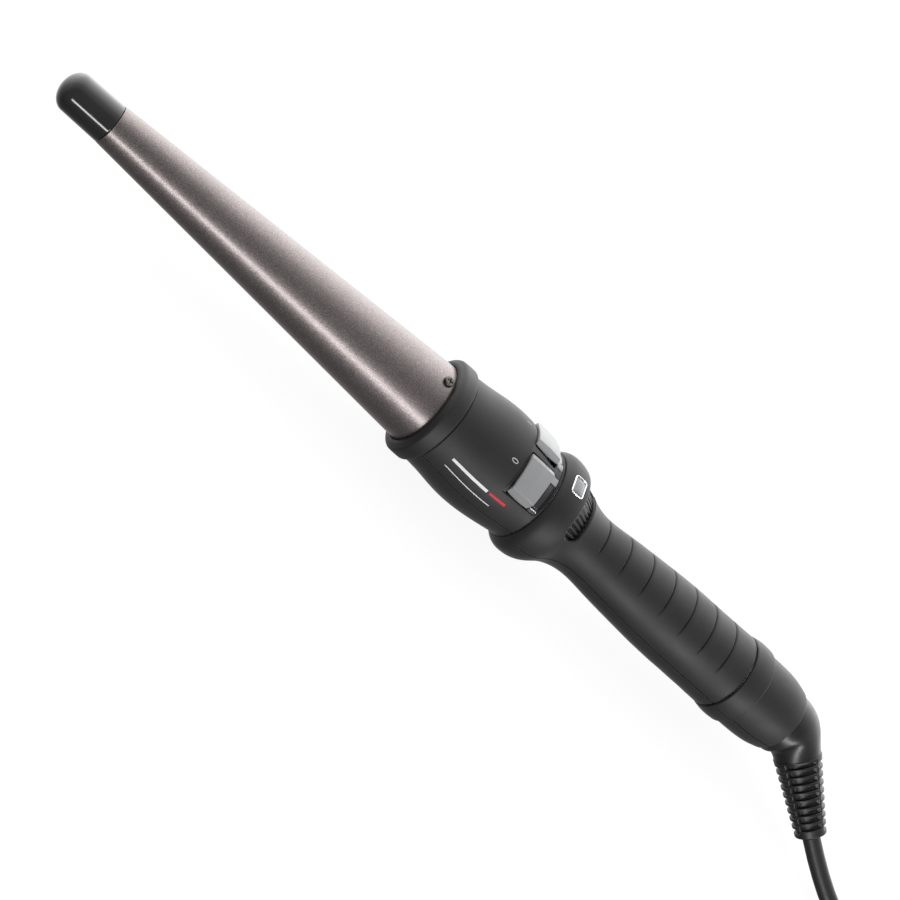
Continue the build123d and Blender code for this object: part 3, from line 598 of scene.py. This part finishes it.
def make_key(side, name, replaced, body):
    """A push pad: a hollowed crown with bevels at its two long edges, on a skirt."""
    front, rear, inner, outer = 198.8, 210.2, -8.3, 7.85
    middle, reach, half = (front + rear) / 2, (rear - front) / 2, (outer - inner) / 2
    g = np.sin(np.linspace(-math.pi / 2, math.pi / 2, 56))
    u, v = np.meshgrid(g, g, indexing="ij")
    su, sv = squircle(u, v)
    t = (inner + outer) / 2 + half * sv
    lean = 0.9 * (t - inner) / (outer - inner) * (1 - su) / 2
    x = middle + reach * su + lean
    crown = np.interp(x, [front, 204.5, rear], [20.85, 20.95, 20.3])
    top = crown - 0.55 * (crown - np.sqrt(crown**2 - t**2))
    edge = np.minimum(reach - np.abs(su) * reach, half - np.abs(sv) * half)
    bevels = 1.35 * np.maximum(t - 5.7, 0) + 1.25 * np.maximum(-6.9 - t, 0)
    bead = 0.14 * np.exp(-(((t - 5.6) / 0.35) ** 2)) * smooth(0.2, 1.2, edge)
    top = top - rounded(edge, 0.4) - bevels + bead
    hollow = np.exp(-(((x - middle) / 4.5) ** 2)) * np.exp(-((t / 6.5) ** 2))
    top = top - 0.18 * hollow
    low = KEY_TAPER * t
    levels = [(t, top), (low, np.sqrt(KEY_UNDERSIDE**2 - low**2))]
    n = g.size
    points = np.concatenate([key_point(side, x, across, w).reshape(-1, 3) for across, w in levels])
    faces = [quads(n, n, 0, False, side < 0), quads(n, n, n * n, False, side > 0)]
    along, back = np.arange(1, n), np.arange(n - 2, 0, -1)
    rim = np.concatenate([np.arange(n), n * along + n - 1, n * n - 1 - along, n * back])
    step = np.roll(rim, -1)
    wall = np.stack([rim, step, step + n * n, rim + n * n], -1)
    faces.append(wall if side < 0 else wall[:, ::-1])
    mesh = mesh_of(name, points, np.concatenate(faces))
    link(mesh, name, body, MATERIALS["key"], "key_grey", replaced)


def frame_height(x):
    """The panel's radius, sloping down to the ledge."""
    return np.interp(x, [196, 203, 208.5, 212.7, 214.4], [20.35, 19.75, 18.95, 18.35, 18.3]) - 0.2


def make_switch_frame():
    """A sunk panel with the ridge between the keys and a ledge behind them."""
    a = math.radians(PRESS_ANGLE)

    def radius(x, angle):
        r = frame_height(x)
        for side in (1, -1):
            y, z = -r * np.sin(np.radians(angle)), r * np.cos(np.radians(angle))
            t = -side * y * math.cos(a) - z * math.sin(a)
            lean = 0.45 * np.clip((t + 8.4) / 16.3, 0, 1) * np.clip((210.2 - x) / 5.7, 0, 2)
            hole = box_distance(x - 204.5 - lean, t + 0.1, 5.95, 8.6, 0.9)
            r = r - np.where(side * angle > 0, recess(hole, 3.2, lip=0.15, wall=0.25), 0)
        ledge = smooth(210.6, 211.0, x) * (1 - smooth(213.4, 213.8, x))
        glass = smooth(15.5, 16.5, np.abs(angle)) * (1 - smooth(48.5, 49.5, np.abs(angle)))
        return r - 0.35 * ledge * glass

    xs = stations(197.95, 213.95, 0.4, (198.0, 199.4, 0.12), (209.8, 213.95, 0.12))
    angles = np.linspace(-54.8, 54.8, 346)
    mesh = around("switch_panel", xs, angles, radius, lambda x, a: radius(x, a) - 0.7)
    link(mesh, "switch_panel", "handle", MATERIALS["panel"], "gloss_black", "switch_frame")


def ledge_patch(name, side, x_span, angle_span, sunk, thick, material, slot, *replaced, edge=0.2):
    """A thin curved plate with rounded edges, lying on the ledge or sunk in it."""
    (x0, x1), (low, high) = x_span, sorted(side * a for a in angle_span)

    def radius(x, a):
        d = np.minimum(np.minimum(x - x0, x1 - x), np.radians(np.minimum(a - low, high - a)) * 19)
        return frame_height(x) - sunk + thick - rounded(d, edge)

    xs = stations(x0, x1, 0.3, (x0, x0 + edge, edge / 4), (x1 - edge, x1, edge / 4))
    angles = np.linspace(low, high, max(8, int(abs(high - low) * 2)))
    mesh = around(name, xs, angles, radius, lambda x, a: frame_height(x) - sunk - 0.3)
    link(mesh, name, "handle", MATERIALS[material], slot, *replaced)


def make_ledge():
    """What lies behind each key: a block, a dark window and a bright strip."""
    for side, word in ((1, "near"), (-1, "far")):
        ledge_patch(
            f"ledge_block_{word}", side, (210.75, 213.7), (6.5, 14.8), 0.0, 0.45, "key", "key_grey",
        )
        ledge_patch(
            f"ledge_window_{word}", side, (211.1, 213.4), (17.0, 48.0), 0.3, 0.25, "window",
            "dark_window", "status_windows",
        )
        ledge_patch(
            f"ledge_trim_{word}", side, (210.7, 213.8), (49.6, 51.2), 0.0, 0.28, "chrome",
            "chrome", "trim_strips", edge=0.12,
        )


def make_bezel():
    """The chrome frame round the indicator, bent over the bulge, and the lens in it."""
    half_x, half_y, corner, wall = 2.8, 4.0, 1.2, 0.55
    profile = [(0.0, -0.8), (0.0, 0.05), (0.08, 0.18), (0.24, 0.24), (0.42, 0.18), (wall, 0.0), (wall, -0.8)]
    path = corner_path(half_x - corner, half_y - corner, 8)
    rings = []
    for cx, cy, t in path:
        nx, ny = math.cos(t), math.sin(t)
        rings.append([(cx + nx * (corner - inset), cy + ny * (corner - inset), h) for inset, h in profile])
    grid = np.array(rings)
    x = LAMP_X + grid[..., 0]
    angle = np.degrees(grid[..., 1] / LAMP_RADIUS)
    points = polar(x, -angle, handle_radius(x) + grid[..., 2]).reshape(-1, 3)
    mesh = mesh_of("bezel", points, loop_faces(len(path), len(profile))[:, [0, 3, 2, 1]])
    link(mesh, "bezel", "handle", MATERIALS["chrome"], "chrome", "indicator_bezel")
    lens_x, lens_y = 2.3, 3.5

    def lens(x, a):
        d = -box_distance(x - LAMP_X, np.radians(a) * LAMP_RADIUS, lens_x, lens_y, 0.7)
        return handle_radius(x) - 0.3 + 0.38 * smooth(-0.1, 1.5, d)

    reach = math.degrees(lens_y / LAMP_RADIUS)
    xs, angles = np.linspace(LAMP_X - lens_x, LAMP_X + lens_x, 24), np.linspace(-reach, reach, 36)
    mesh = around("lens", xs, angles, lens, lambda x, a: lens(x, a) - 1.2)
    link(mesh, "lens", "handle", MATERIALS["lens"], "lens", "indicator_lens")


def make_thermostat():
    """The ribbed ring, a cone seen through its slot."""
    ribs, rib_depth, bore = 48, 0.85, 9.4
    angles = np.arange(16 * ribs) * 360 / (16 * ribs)

    def radius(x, angle):
        cone = np.interp(x, *zip(*DIAL_CONE))
        rib = 0.5 + 0.5 * np.cos(np.radians(angle) * ribs)
        ends = smooth(DIAL_FRONT, DIAL_FRONT + 0.6, x) * (1 - smooth(DIAL_REAR - 0.6, DIAL_REAR, x))
        cut = rib_depth * (1 - rib) ** 2 * ends
        return cone - cut - rounded(x - DIAL_FRONT, 0.4) - rounded(DIAL_REAR - x, 0.4)

    fine = [(DIAL_FRONT, DIAL_FRONT + 0.7, 0.1), (DIAL_REAR - 0.7, DIAL_REAR, 0.1)]
    xs = stations(DIAL_FRONT, DIAL_REAR, 0.35, *fine)
    mesh = around("thermostat_dial", xs, angles, radius, lambda x, a: np.full_like(x, bore), wrap=True)
    link(mesh, "thermostat_dial", "thermostat", MATERIALS["dial"], "dial_black", "thermostat_ring")


# ---------------------------------------------------------------- print


MARK_ANGLE, MARK_RADIUS = 25.3, 20.3  # where the two marks stand on the body
INK = 0.05  # how far print stands out


def print_bar(name, x0, x1, arc0, arc1, material, slot):
    """A thin printed bar on the body; arcs are degrees from the top towards the near side."""
    def top(x, a):
        return body_radius(x) + INK

    xs, angles = np.linspace(x0, x1, 24), np.linspace(arc0, arc1, 8)
    mesh = around(name, xs, angles, top, lambda x, a: top(x, a) - 0.12)
    link(mesh, name, "handle", MATERIALS[material], slot)


def make_marks():
    """The 0 and I beside the keys, and plain bars where a maker would print its name."""
    middle, half_wide, half_long, line = 194.3, 0.78, 1.45, 0.34
    turns = np.linspace(0, 2 * math.pi, 49)[:-1]
    rings = []
    for inset, lift in ((0.0, INK), (line, INK), (line, -0.1), (0.0, -0.1)):
        u = (half_wide - inset) * np.cos(turns)
        x = middle + (half_long - inset) * np.sin(turns)
        rings.append(polar(x, MARK_ANGLE + np.degrees(u / MARK_RADIUS), body_radius(x) + lift))
    faces = loop_faces(len(rings), turns.size)[:, [0, 3, 2, 1]]
    mesh = mesh_of("mark_off", np.concatenate(rings), faces)
    link(mesh, "mark_off", "handle", MATERIALS["print_grey"], "key_grey")
    width = math.degrees(line / 2 / MARK_RADIUS)
    print_bar("mark_on", 193.05, 195.35, -MARK_ANGLE - width, -MARK_ANGLE + width, "print_grey", "key_grey")
    print_bar("print_bar_white", 177.6, 194.6, 64.2, 67.4, "print_white", "key_grey")
    print_bar("print_bar_red", 195.4, 203.4, 64.2, 67.4, "print_red", "lead_red")
    print_bar("print_line", 177.6, 199.5, 76.8, 77.8, "print_white", "key_grey")


# ---------------------------------------------------------------- swivel, strain relief


def bezier(points, t):
    a, b, c, d = (Vector(p) for p in points)
    return (1 - t) ** 3 * a + 3 * (1 - t) ** 2 * t * b + 3 * (1 - t) * t * t * c + t**3 * d


def way_matrix():
    """From stations along the strain relief to the wand's own frame; its two ends stay at their stations."""
    start = Vector((PIVOT, 0, 0)) + CORD_WAY * RELIEF_START + RELIEF_RISE
    way = (Vector((PIVOT, 0, 0)) + CORD_WAY * RELIEF_END - start).normalized()
    side = Vector((0, 0, 1)).cross(way).normalized()
    turn = Matrix((way, side, way.cross(side))).transposed().to_4x4()
    return Matrix.Translation(start - way * RELIEF_START) @ turn


def make_elbow():
    """A smooth bend from the rear opening to the strain relief."""
    start = Vector((347.5, 0, 0))
    way = way_matrix().to_3x3().col[0]
    end = way_matrix() @ Vector((RELIEF_START + 1.0, 0, 0))
    controls = (start, start + Vector((13.5, 0, 0)), end - way * 10.5, end)
    count, segments, big, small, swell = 56, 96, 12.45, 8.9, 0.3
    side = Vector((1, 0, 0)).cross(way).normalized()
    points = []
    for i in range(count + 1):
        t = i / count
        here = bezier(controls, t)
        ahead = bezier(controls, min(1, t + 0.01)) - bezier(controls, max(0, t - 0.01))
        up = side.cross(ahead.normalized()).normalized()
        radius = big + (small - big) * float(smooth(0.22, 1.0, t)) + swell * math.sin(math.pi * t) ** 2
        for k in range(segments):
            a = 2 * math.pi * k / segments
            points.append(here + radius * (math.cos(a) * side + math.sin(a) * up))
    faces = list(quads(count + 1, segments, 0, True, True))
    faces += [tuple(range(segments)), tuple(count * segments + k for k in reversed(range(segments)))]
    mesh = closed_outward(mesh_of("elbow", [tuple(p) for p in points], faces))
    link(mesh, "elbow", "swivel", MATERIALS["elbow"], "gloss_black", "swivel_elbow")


def make_strain_relief():
    """A tapered sleeve with slots front and back, and slots at its sides half a pitch further along."""
    rows, deep, shallow, bore = 9, 1.5, 0.9, 3.45
    pitch = (RELIEF_END - 1.2 - RELIEF_START) / (rows + 0.5)
    facing = way_matrix().to_3x3().inverted() @ SLOTS_FACE
    face = math.degrees(math.atan2(-facing.y, facing.z))

    def slots(x, angle, first):
        where = (x - RELIEF_START - first * pitch) / pitch
        gap = smooth(0.12, 0.22, where % 1) * (1 - smooth(0.74, 0.84, where % 1))
        gap = gap * (where > 0) * (where < rows)
        return gap * smooth(0.72, 0.84, np.abs(np.cos(np.radians(angle))))

    def radius(x, angle):
        along = (x - RELIEF_START) / (RELIEF_END - RELIEF_START)
        r = RELIEF_BIG + (RELIEF_SMALL - RELIEF_BIG) * along
        cut = deep * slots(x, angle - face, 0.0) + shallow * slots(x, angle - face - 90, 0.5)
        return r - cut - rounded(RELIEF_END - x, 0.6)

    xs = stations(RELIEF_START, RELIEF_END, 0.14)
    mesh = around("relief", xs, np.arange(180) * 2.0, radius, lambda x, a: np.full_like(x, bore), wrap=True)
    turn = np.array(way_matrix())
    place = np.array([TIP_X, 0, AXIS_Z])
    for vertex in mesh.vertices:
        local = (np.array(vertex.co) - place) / MM
        vertex.co = (turn[:3, :3] @ local + turn[:3, 3]) * MM + place
    closed_outward(mesh)
    link(mesh, "relief", "swivel", MATERIALS["relief"], "cord_black", "strain_relief")


# ---------------------------------------------------------------- cord, hank and plug

HANK_LEFT, HANK_RUN, HANK_Y = 316.0, 96.0, -20.7  # the nearer loop's middle, and on to the farther one's
HANK_COLUMNS, HANK_LAYERS = 2, 4
HANK_TOP = HANK_LAYERS * CORD
FOLD_RADIUS = 3 * CORD
WAIST = 17.6  # half the hank's width where the tie is
TIE_WIDTH = 14.0
PLUG_BACK, PLUG_LENGTH, PLUG_HEIGHT = 398.0, 36.0, 13.7
PLUG_RELIEF = 22.0
PLUG_AXIS = HANK_TOP + PLUG_HEIGHT / 2
SHIFT = 36.0  # how much cord a step to the next place in the hank takes
FULL_TURNS = 6
POINTS_PER_TURN = 26


def exit_point():
    tip = Vector((PIVOT, 0, 0)) + CORD_WAY * RELIEF_END
    return tip + Vector((TIP_X / MM, 0, AXIS_Z / MM))


def hank_turn(inset):
    """One turn's arcs, at its ends and its waist: (centre x, centre y, radius, from angle, to angle)."""
    end = FOLD_RADIUS + (HANK_COLUMNS - 0.5) * CORD
    reach = HANK_RUN / 2
    pull = (reach**2 + WAIST**2 - end**2) / (2 * (end - WAIST))
    lean = math.degrees(math.atan2(WAIST + pull, reach))
    r, big = end - inset, pull + inset
    return [
        (0, -WAIST - pull, big, 180 - lean, lean),
        (reach, 0, r, lean - 180, 180 - lean),
        (0, WAIST + pull, big, -lean, lean - 180),
        (-reach, 0, r, lean, 360 - lean),
    ]


def turn_points(inset):
    """The turn as a dense closed line with its length, to be read by distance."""
    points = []
    for cx, cy, r, start, end in hank_turn(inset):
        steps = max(4, int(abs(end - start) / 3))
        for i in range(steps):
            t = math.radians(start + (end - start) * i / steps)
            points.append((cx + r * math.cos(t), cy + r * math.sin(t)))
    points = np.array(points + points[:1])
    lengths = np.concatenate([[0], np.cumsum(np.linalg.norm(np.diff(points, axis=0), axis=1))])
    return points, lengths


def hank_route():
    """The turns of the hank, across each layer and up to the next, and the half turn that ends it.

    A turn's length less one step is spent in each place, so the steps don't lie over each other.
    """
    insets = [(i + 0.5) * CORD for i in range(HANK_COLUMNS)]
    lines = [turn_points(inset) for inset in insets]
    places = []
    for layer in range(HANK_LAYERS):
        order = range(HANK_COLUMNS) if layer % 2 == 0 else reversed(range(HANK_COLUMNS))
        places += [(column, layer) for column in order]
    usual = sum(lengths[-1] for _, lengths in lines) / len(lines)
    shift = SHIFT / usual
    stay = 1 - shift
    outer, outer_lengths = lines[0]
    loop_top = np.argmin(np.hypot(outer[:, 0] + HANK_RUN / 2, outer[:, 1] - outer[:, 1].max()))
    total = FULL_TURNS + outer_lengths[loop_top] / outer_lengths[-1]
    count = int(total * POINTS_PER_TURN)
    route = []
    for k in range(count + 1):
        turns = k * total / count
        index = min(int(turns / stay), len(places) - 1)
        following = places[min(index + 1, len(places) - 1)]
        blend = float(smooth(stay - shift, stay, turns - index * stay))
        column = places[index][0] * (1 - blend) + following[0] * blend
        layer = places[index][1] * (1 - blend) + following[1] * blend
        at = []
        for points, lengths in lines:
            d = turns % 1.0 * lengths[-1]
            at.append([np.interp(d, lengths, points[:, 0]), np.interp(d, lengths, points[:, 1])])
        x, y = np.array(at[0]) * (1 - column) + np.array(at[-1]) * column
        lift = 1.3 * math.exp(-((x / (TIE_WIDTH * 0.62)) ** 4))
        squeeze = 1 - 0.075 * math.exp(-((x / (TIE_WIDTH * 0.8)) ** 2))
        z = CORD * (layer + 0.5) * squeeze + lift * (1 - layer / HANK_LAYERS)
        route.append(Vector((HANK_LEFT + HANK_RUN / 2 + x, HANK_Y + y, z)))
    return route + climbing_loop()


def climbing_loop():
    """The last half turn, round the nearer end: up on top of the hank, then in towards its middle."""
    route = []
    outer = FOLD_RADIUS + (HANK_COLUMNS - 1) * CORD
    for k in range(1, 15):
        angle = 90 + 180 * k / 14
        radius = outer - (outer - FOLD_RADIUS - 1.5) * float(smooth(150, 262, angle))
        z = HANK_TOP - CORD / 2 + CORD * float(smooth(88, 172, angle))
        t = math.radians(angle)
        route.append(Vector((HANK_LEFT + radius * math.cos(t), HANK_Y + radius * math.sin(t), z)))
    return route


LEAD_ROUTE = [
    exit_point(),
    exit_point() + CORD_WAY * ((exit_point().z - CORD / 2) / -CORD_WAY.z),
    Vector((262.0, -46.8, CORD / 2)),
    Vector((289.0, -48.6, CORD / 2)),
]
TAIL_ROUTE = [
    Vector((HANK_LEFT + 13, HANK_Y - 20.8, HANK_TOP + CORD / 2)),
    Vector((HANK_LEFT + 27, HANK_Y - 15.5, HANK_TOP + CORD / 2 + 0.2)),
    Vector((HANK_LEFT + 39, HANK_Y - 7.0, HANK_TOP + CORD / 2 + 1.6)),
    Vector((HANK_LEFT + 49, HANK_Y - 1.0, PLUG_AXIS - 0.3)),
    Vector((PLUG_BACK - PLUG_RELIEF, HANK_Y, PLUG_AXIS)),
    Vector((PLUG_BACK - PLUG_RELIEF + 4, HANK_Y, PLUG_AXIS)),
]


def make_cord():
    route = LEAD_ROUTE + hank_route() + TAIL_ROUTE
    curve = bpy.data.curves.new("power_cord", "CURVE")
    curve.dimensions = "3D"
    line = curve.splines.new("NURBS")
    line.points.add(len(route) - 1)
    for point, place in zip(line.points, route):
        point.co = (*(place * MM), 1)
    line.order_u = 3
    line.use_endpoint_u = True
    line.resolution_u = 6
    curve.bevel_depth = CORD * MM / 2
    curve.bevel_resolution = 8
    curve.use_fill_caps = True
    curve.materials.append(MATERIALS["cord"])
    obj = bpy.data.objects.new("power_cord", curve)
    bpy.context.scene.collection.objects.link(obj)
    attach(obj, "swivel")
    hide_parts("cord_lead", "cord_hank", "cord_tail")
    return obj


def row_mesh(name, points, faces):
    """points in millimetres in the frame's own place, where the floor is at 0."""
    mesh = bpy.data.meshes.new(name)
    mesh.from_pydata([tuple(Vector(p) * MM) for p in points], [], [tuple(int(i) for i in f) for f in faces])
    mesh.validate()
    return closed_outward(mesh)


def make_tie():
    """A woven strap round the waist of the hank."""
    thick, half_y, half_z, corner = 1.2, WAIST + 0.3, HANK_TOP / 2 - 0.05, 5.0
    path = corner_path(half_y - corner, half_z - corner, 8)
    across = np.linspace(-TIE_WIDTH / 2, TIE_WIDTH / 2, 15)
    profile = [(x, -float(rounded(TIE_WIDTH / 2 - abs(x), 0.5))) for x in across]
    profile += [(x, -thick) for x in across[::-1]]
    points = []
    for cy, cz, t in path:
        for x, rise in profile:
            y, z = cy + (corner + rise) * math.cos(t), cz + (corner + rise) * math.sin(t)
            points.append((HANK_LEFT + HANK_RUN / 2 + x, HANK_Y + y, HANK_TOP / 2 + z))
    mesh = row_mesh("hank_tie", points, loop_faces(len(path), len(profile)))
    return link(mesh, "hank_tie", "swivel", MATERIALS["tie"], "tie", "cord_tie")


def plug_piece(name, sections, material, replaced):
    """A closed piece on the plug's axis, skinned over rings of points given as (x, [(y, z), ...])."""
    rows, columns = len(sections), len(sections[0][1])
    points = [(x, HANK_Y + y, PLUG_AXIS + z) for x, section in sections for y, z in section]
    faces = [tuple(f) for f in quads(rows, columns, 0, True, False)]
    faces += [tuple(range(columns)), tuple(range((rows - 1) * columns, rows * columns))]
    return link(row_mesh(name, points, faces), name, "swivel", MATERIALS[material], "cord_black", replaced)


def make_plug():
    """The body of a flat two-pin plug."""
    length = PLUG_LENGTH
    shape = [  # (x, width, height, corner radius)
        (0.0, 13.0, 11.6, 4.6), (0.5, 14.2, 12.4, 4.9), (3.0, 17.5, 13.0, 5.2), (9.0, 25.5, 13.3, 5.4),
        (15.0, 31.0, 13.5, 5.4), (22.0, 33.6, 13.6, 5.2), (30.0, 34.8, 13.6, 4.8),
        (length - 1.2, 35.2, 13.6, 4.4), (length - 0.3, 34.6, 13.0, 4.2), (length, 33.4, 11.8, 3.8),
    ]
    sections = []
    for x, width, height, corner in shape:
        path = corner_path(width / 2 - corner, height / 2 - corner, 12)
        section = [(cy + corner * math.cos(t), cz + corner * math.sin(t)) for cy, cz, t in path]
        sections.append((PLUG_BACK + x, section))
    body = plug_piece("plug", sections, "cord", "plug_body")
    soft = body.modifiers.new("soft edges", "SUBSURF")
    soft.levels = soft.render_levels = 1
    return body


def make_plug_sleeve():
    """The plug's ribbed relief, widening towards the plug."""
    rings, rings_per_rib, thin, thick, groove = 66, 11, 3.8, 5.2, 0.75
    turns = np.linspace(0, 2 * math.pi, 49)[:-1]
    sections = []
    for i in range(rings + 1):
        wave = (i % rings_per_rib) / rings_per_rib
        dip = float(smooth(0.05, 0.2, wave) * (1 - smooth(0.45, 0.6, wave))) * (0 < i < rings)
        r = thin + (thick - thin) * i / rings - groove * dip
        x = PLUG_BACK - PLUG_RELIEF + PLUG_RELIEF * i / rings
        sections.append((x, [(r * math.cos(t), r * math.sin(t)) for t in turns]))
    return plug_piece("plug_sleeve", sections, "relief", "plug_relief")


# ---------------------------------------------------------------- stage, lights, camera


def make_stage():
    """A white floor that the lights' reflections don't see."""
    side = 6.0
    mesh = bpy.data.meshes.new("floor")
    corners = [(-side, -side, 0), (side, -side, 0), (side, side, 0), (-side, side, 0)]
    mesh.from_pydata(corners, [], [(0, 1, 2, 3)])
    floor = bpy.data.objects.new("floor", mesh)
    bpy.context.scene.collection.objects.link(floor)
    paper = Paint("floor_paper", (0.14, 0.14, 0.14), 0.9, specular=0.0)
    paper.shader.inputs["Emission Color"].default_value = (1, 1, 1, 1)
    paper.shader.inputs["Emission Strength"].default_value = 0.90
    mesh.materials.append(paper.material)
    floor.visible_glossy = False
    floor.visible_diffuse = False


def aimed(right, back, place):
    """The matrix of a camera or a light at a place, from its back and its rough right hand."""
    right = (right - right.dot(back) * back).normalized()
    axes = Matrix((right, back.cross(right), back)).transposed().to_4x4()
    return Matrix.Translation(place) @ axes


def near_strip():
    """A long, narrow light along the near side, its long side level with the wand."""
    data = bpy.data.lights.new("near_strip", "AREA")
    data.shape = "RECTANGLE"
    data.size, data.size_y = 1.8, 0.15
    data.energy = 9.8
    obj = bpy.data.objects.new("near_strip", data)
    bpy.context.scene.collection.objects.link(obj)
    place, target = Vector((0.34, -0.90, 0.19)), Vector((0, 0, AXIS_Z))
    obj.matrix_world = aimed(Vector((1, 0, 0)), (place - target).normalized(), place)


def make_world():
    """A room that grows brighter from the near side to the far one, and is dimmer below the floor."""
    world = bpy.data.worlds.new("studio")
    bpy.context.scene.world = world
    world.use_nodes = True
    nodes, links = world.node_tree.nodes, world.node_tree.links
    background = nodes["Background"]
    split = nodes.new("ShaderNodeSeparateXYZ")
    spread = nodes.new("ShaderNodeMapRange")
    spread.inputs["From Min"].default_value = -1.0
    spread.inputs["From Max"].default_value = 1.0
    room = nodes.new("ShaderNodeValToRGB")
    stops = [(0.0, 0.33), (0.36, 0.37), (0.62, 0.95), (0.97, 3.3)]
    while len(room.color_ramp.elements) < len(stops):
        room.color_ramp.elements.new(0.5)
    brightest = stops[-1][1]
    for element, (position, value) in zip(room.color_ramp.elements, stops):
        element.position = position
        element.color = (value / brightest, value / brightest, value / brightest, 1)
    background.inputs["Strength"].default_value = brightest
    links.new(nodes.new("ShaderNodeTexCoord").outputs["Generated"], split.inputs["Vector"])
    links.new(split.outputs["Y"], spread.inputs["Value"])
    links.new(spread.outputs["Result"], room.inputs["Fac"])
    below = nodes.new("ShaderNodeMapRange")
    below.inputs["From Min"].default_value = -0.6
    below.inputs["From Max"].default_value = 0.0
    below.inputs["To Min"].default_value = 0.48
    below.inputs["To Max"].default_value = 1.0
    dimmed = nodes.new("ShaderNodeVectorMath")
    dimmed.operation = "SCALE"
    links.new(split.outputs["Z"], below.inputs["Value"])
    links.new(room.outputs["Color"], dimmed.inputs[0])
    links.new(below.outputs["Result"], dimmed.inputs["Scale"])
    links.new(dimmed.outputs["Vector"], background.inputs["Color"])


def make_camera():
    """From the near side, above and ahead of the tip, rolled so that the wand hangs down to the right."""
    target = Vector((0, 0, AXIS_Z)) + Vector((3.85, -4.65, -4.1)) * MM
    back, distance = Vector((-0.3939, -0.6090, 0.6884)).normalized(), 0.824
    data = bpy.data.cameras.new("camera")
    data.sensor_width = 36
    data.lens = 96
    camera = bpy.data.objects.new("camera", data)
    bpy.context.scene.collection.objects.link(camera)
    camera.matrix_world = aimed(Vector((0.6888, 0.3003, 0.6598)), back, target + back * distance)
    bpy.context.scene.camera = camera


paint_cad_nodes()
make_stage()
make_world()
near_strip()
make_camera()
make_barrel()
make_tip()
make_collar()
make_body_shells()
make_handle_shells()
make_rear_shells()
make_key(1, "key_pad_off", "key_off", "off_key")
make_key(-1, "key_pad_on", "key_on", "on_key")
make_switch_frame()
make_ledge()
make_bezel()
make_thermostat()
make_marks()
make_elbow()
make_strain_relief()
cord = make_cord()
tie = make_tie()
plug_pieces = [make_plug(), make_plug_sleeve()]

bpy.context.scene.view_settings.view_transform = "Standard"
bpy.context.view_layer.update()
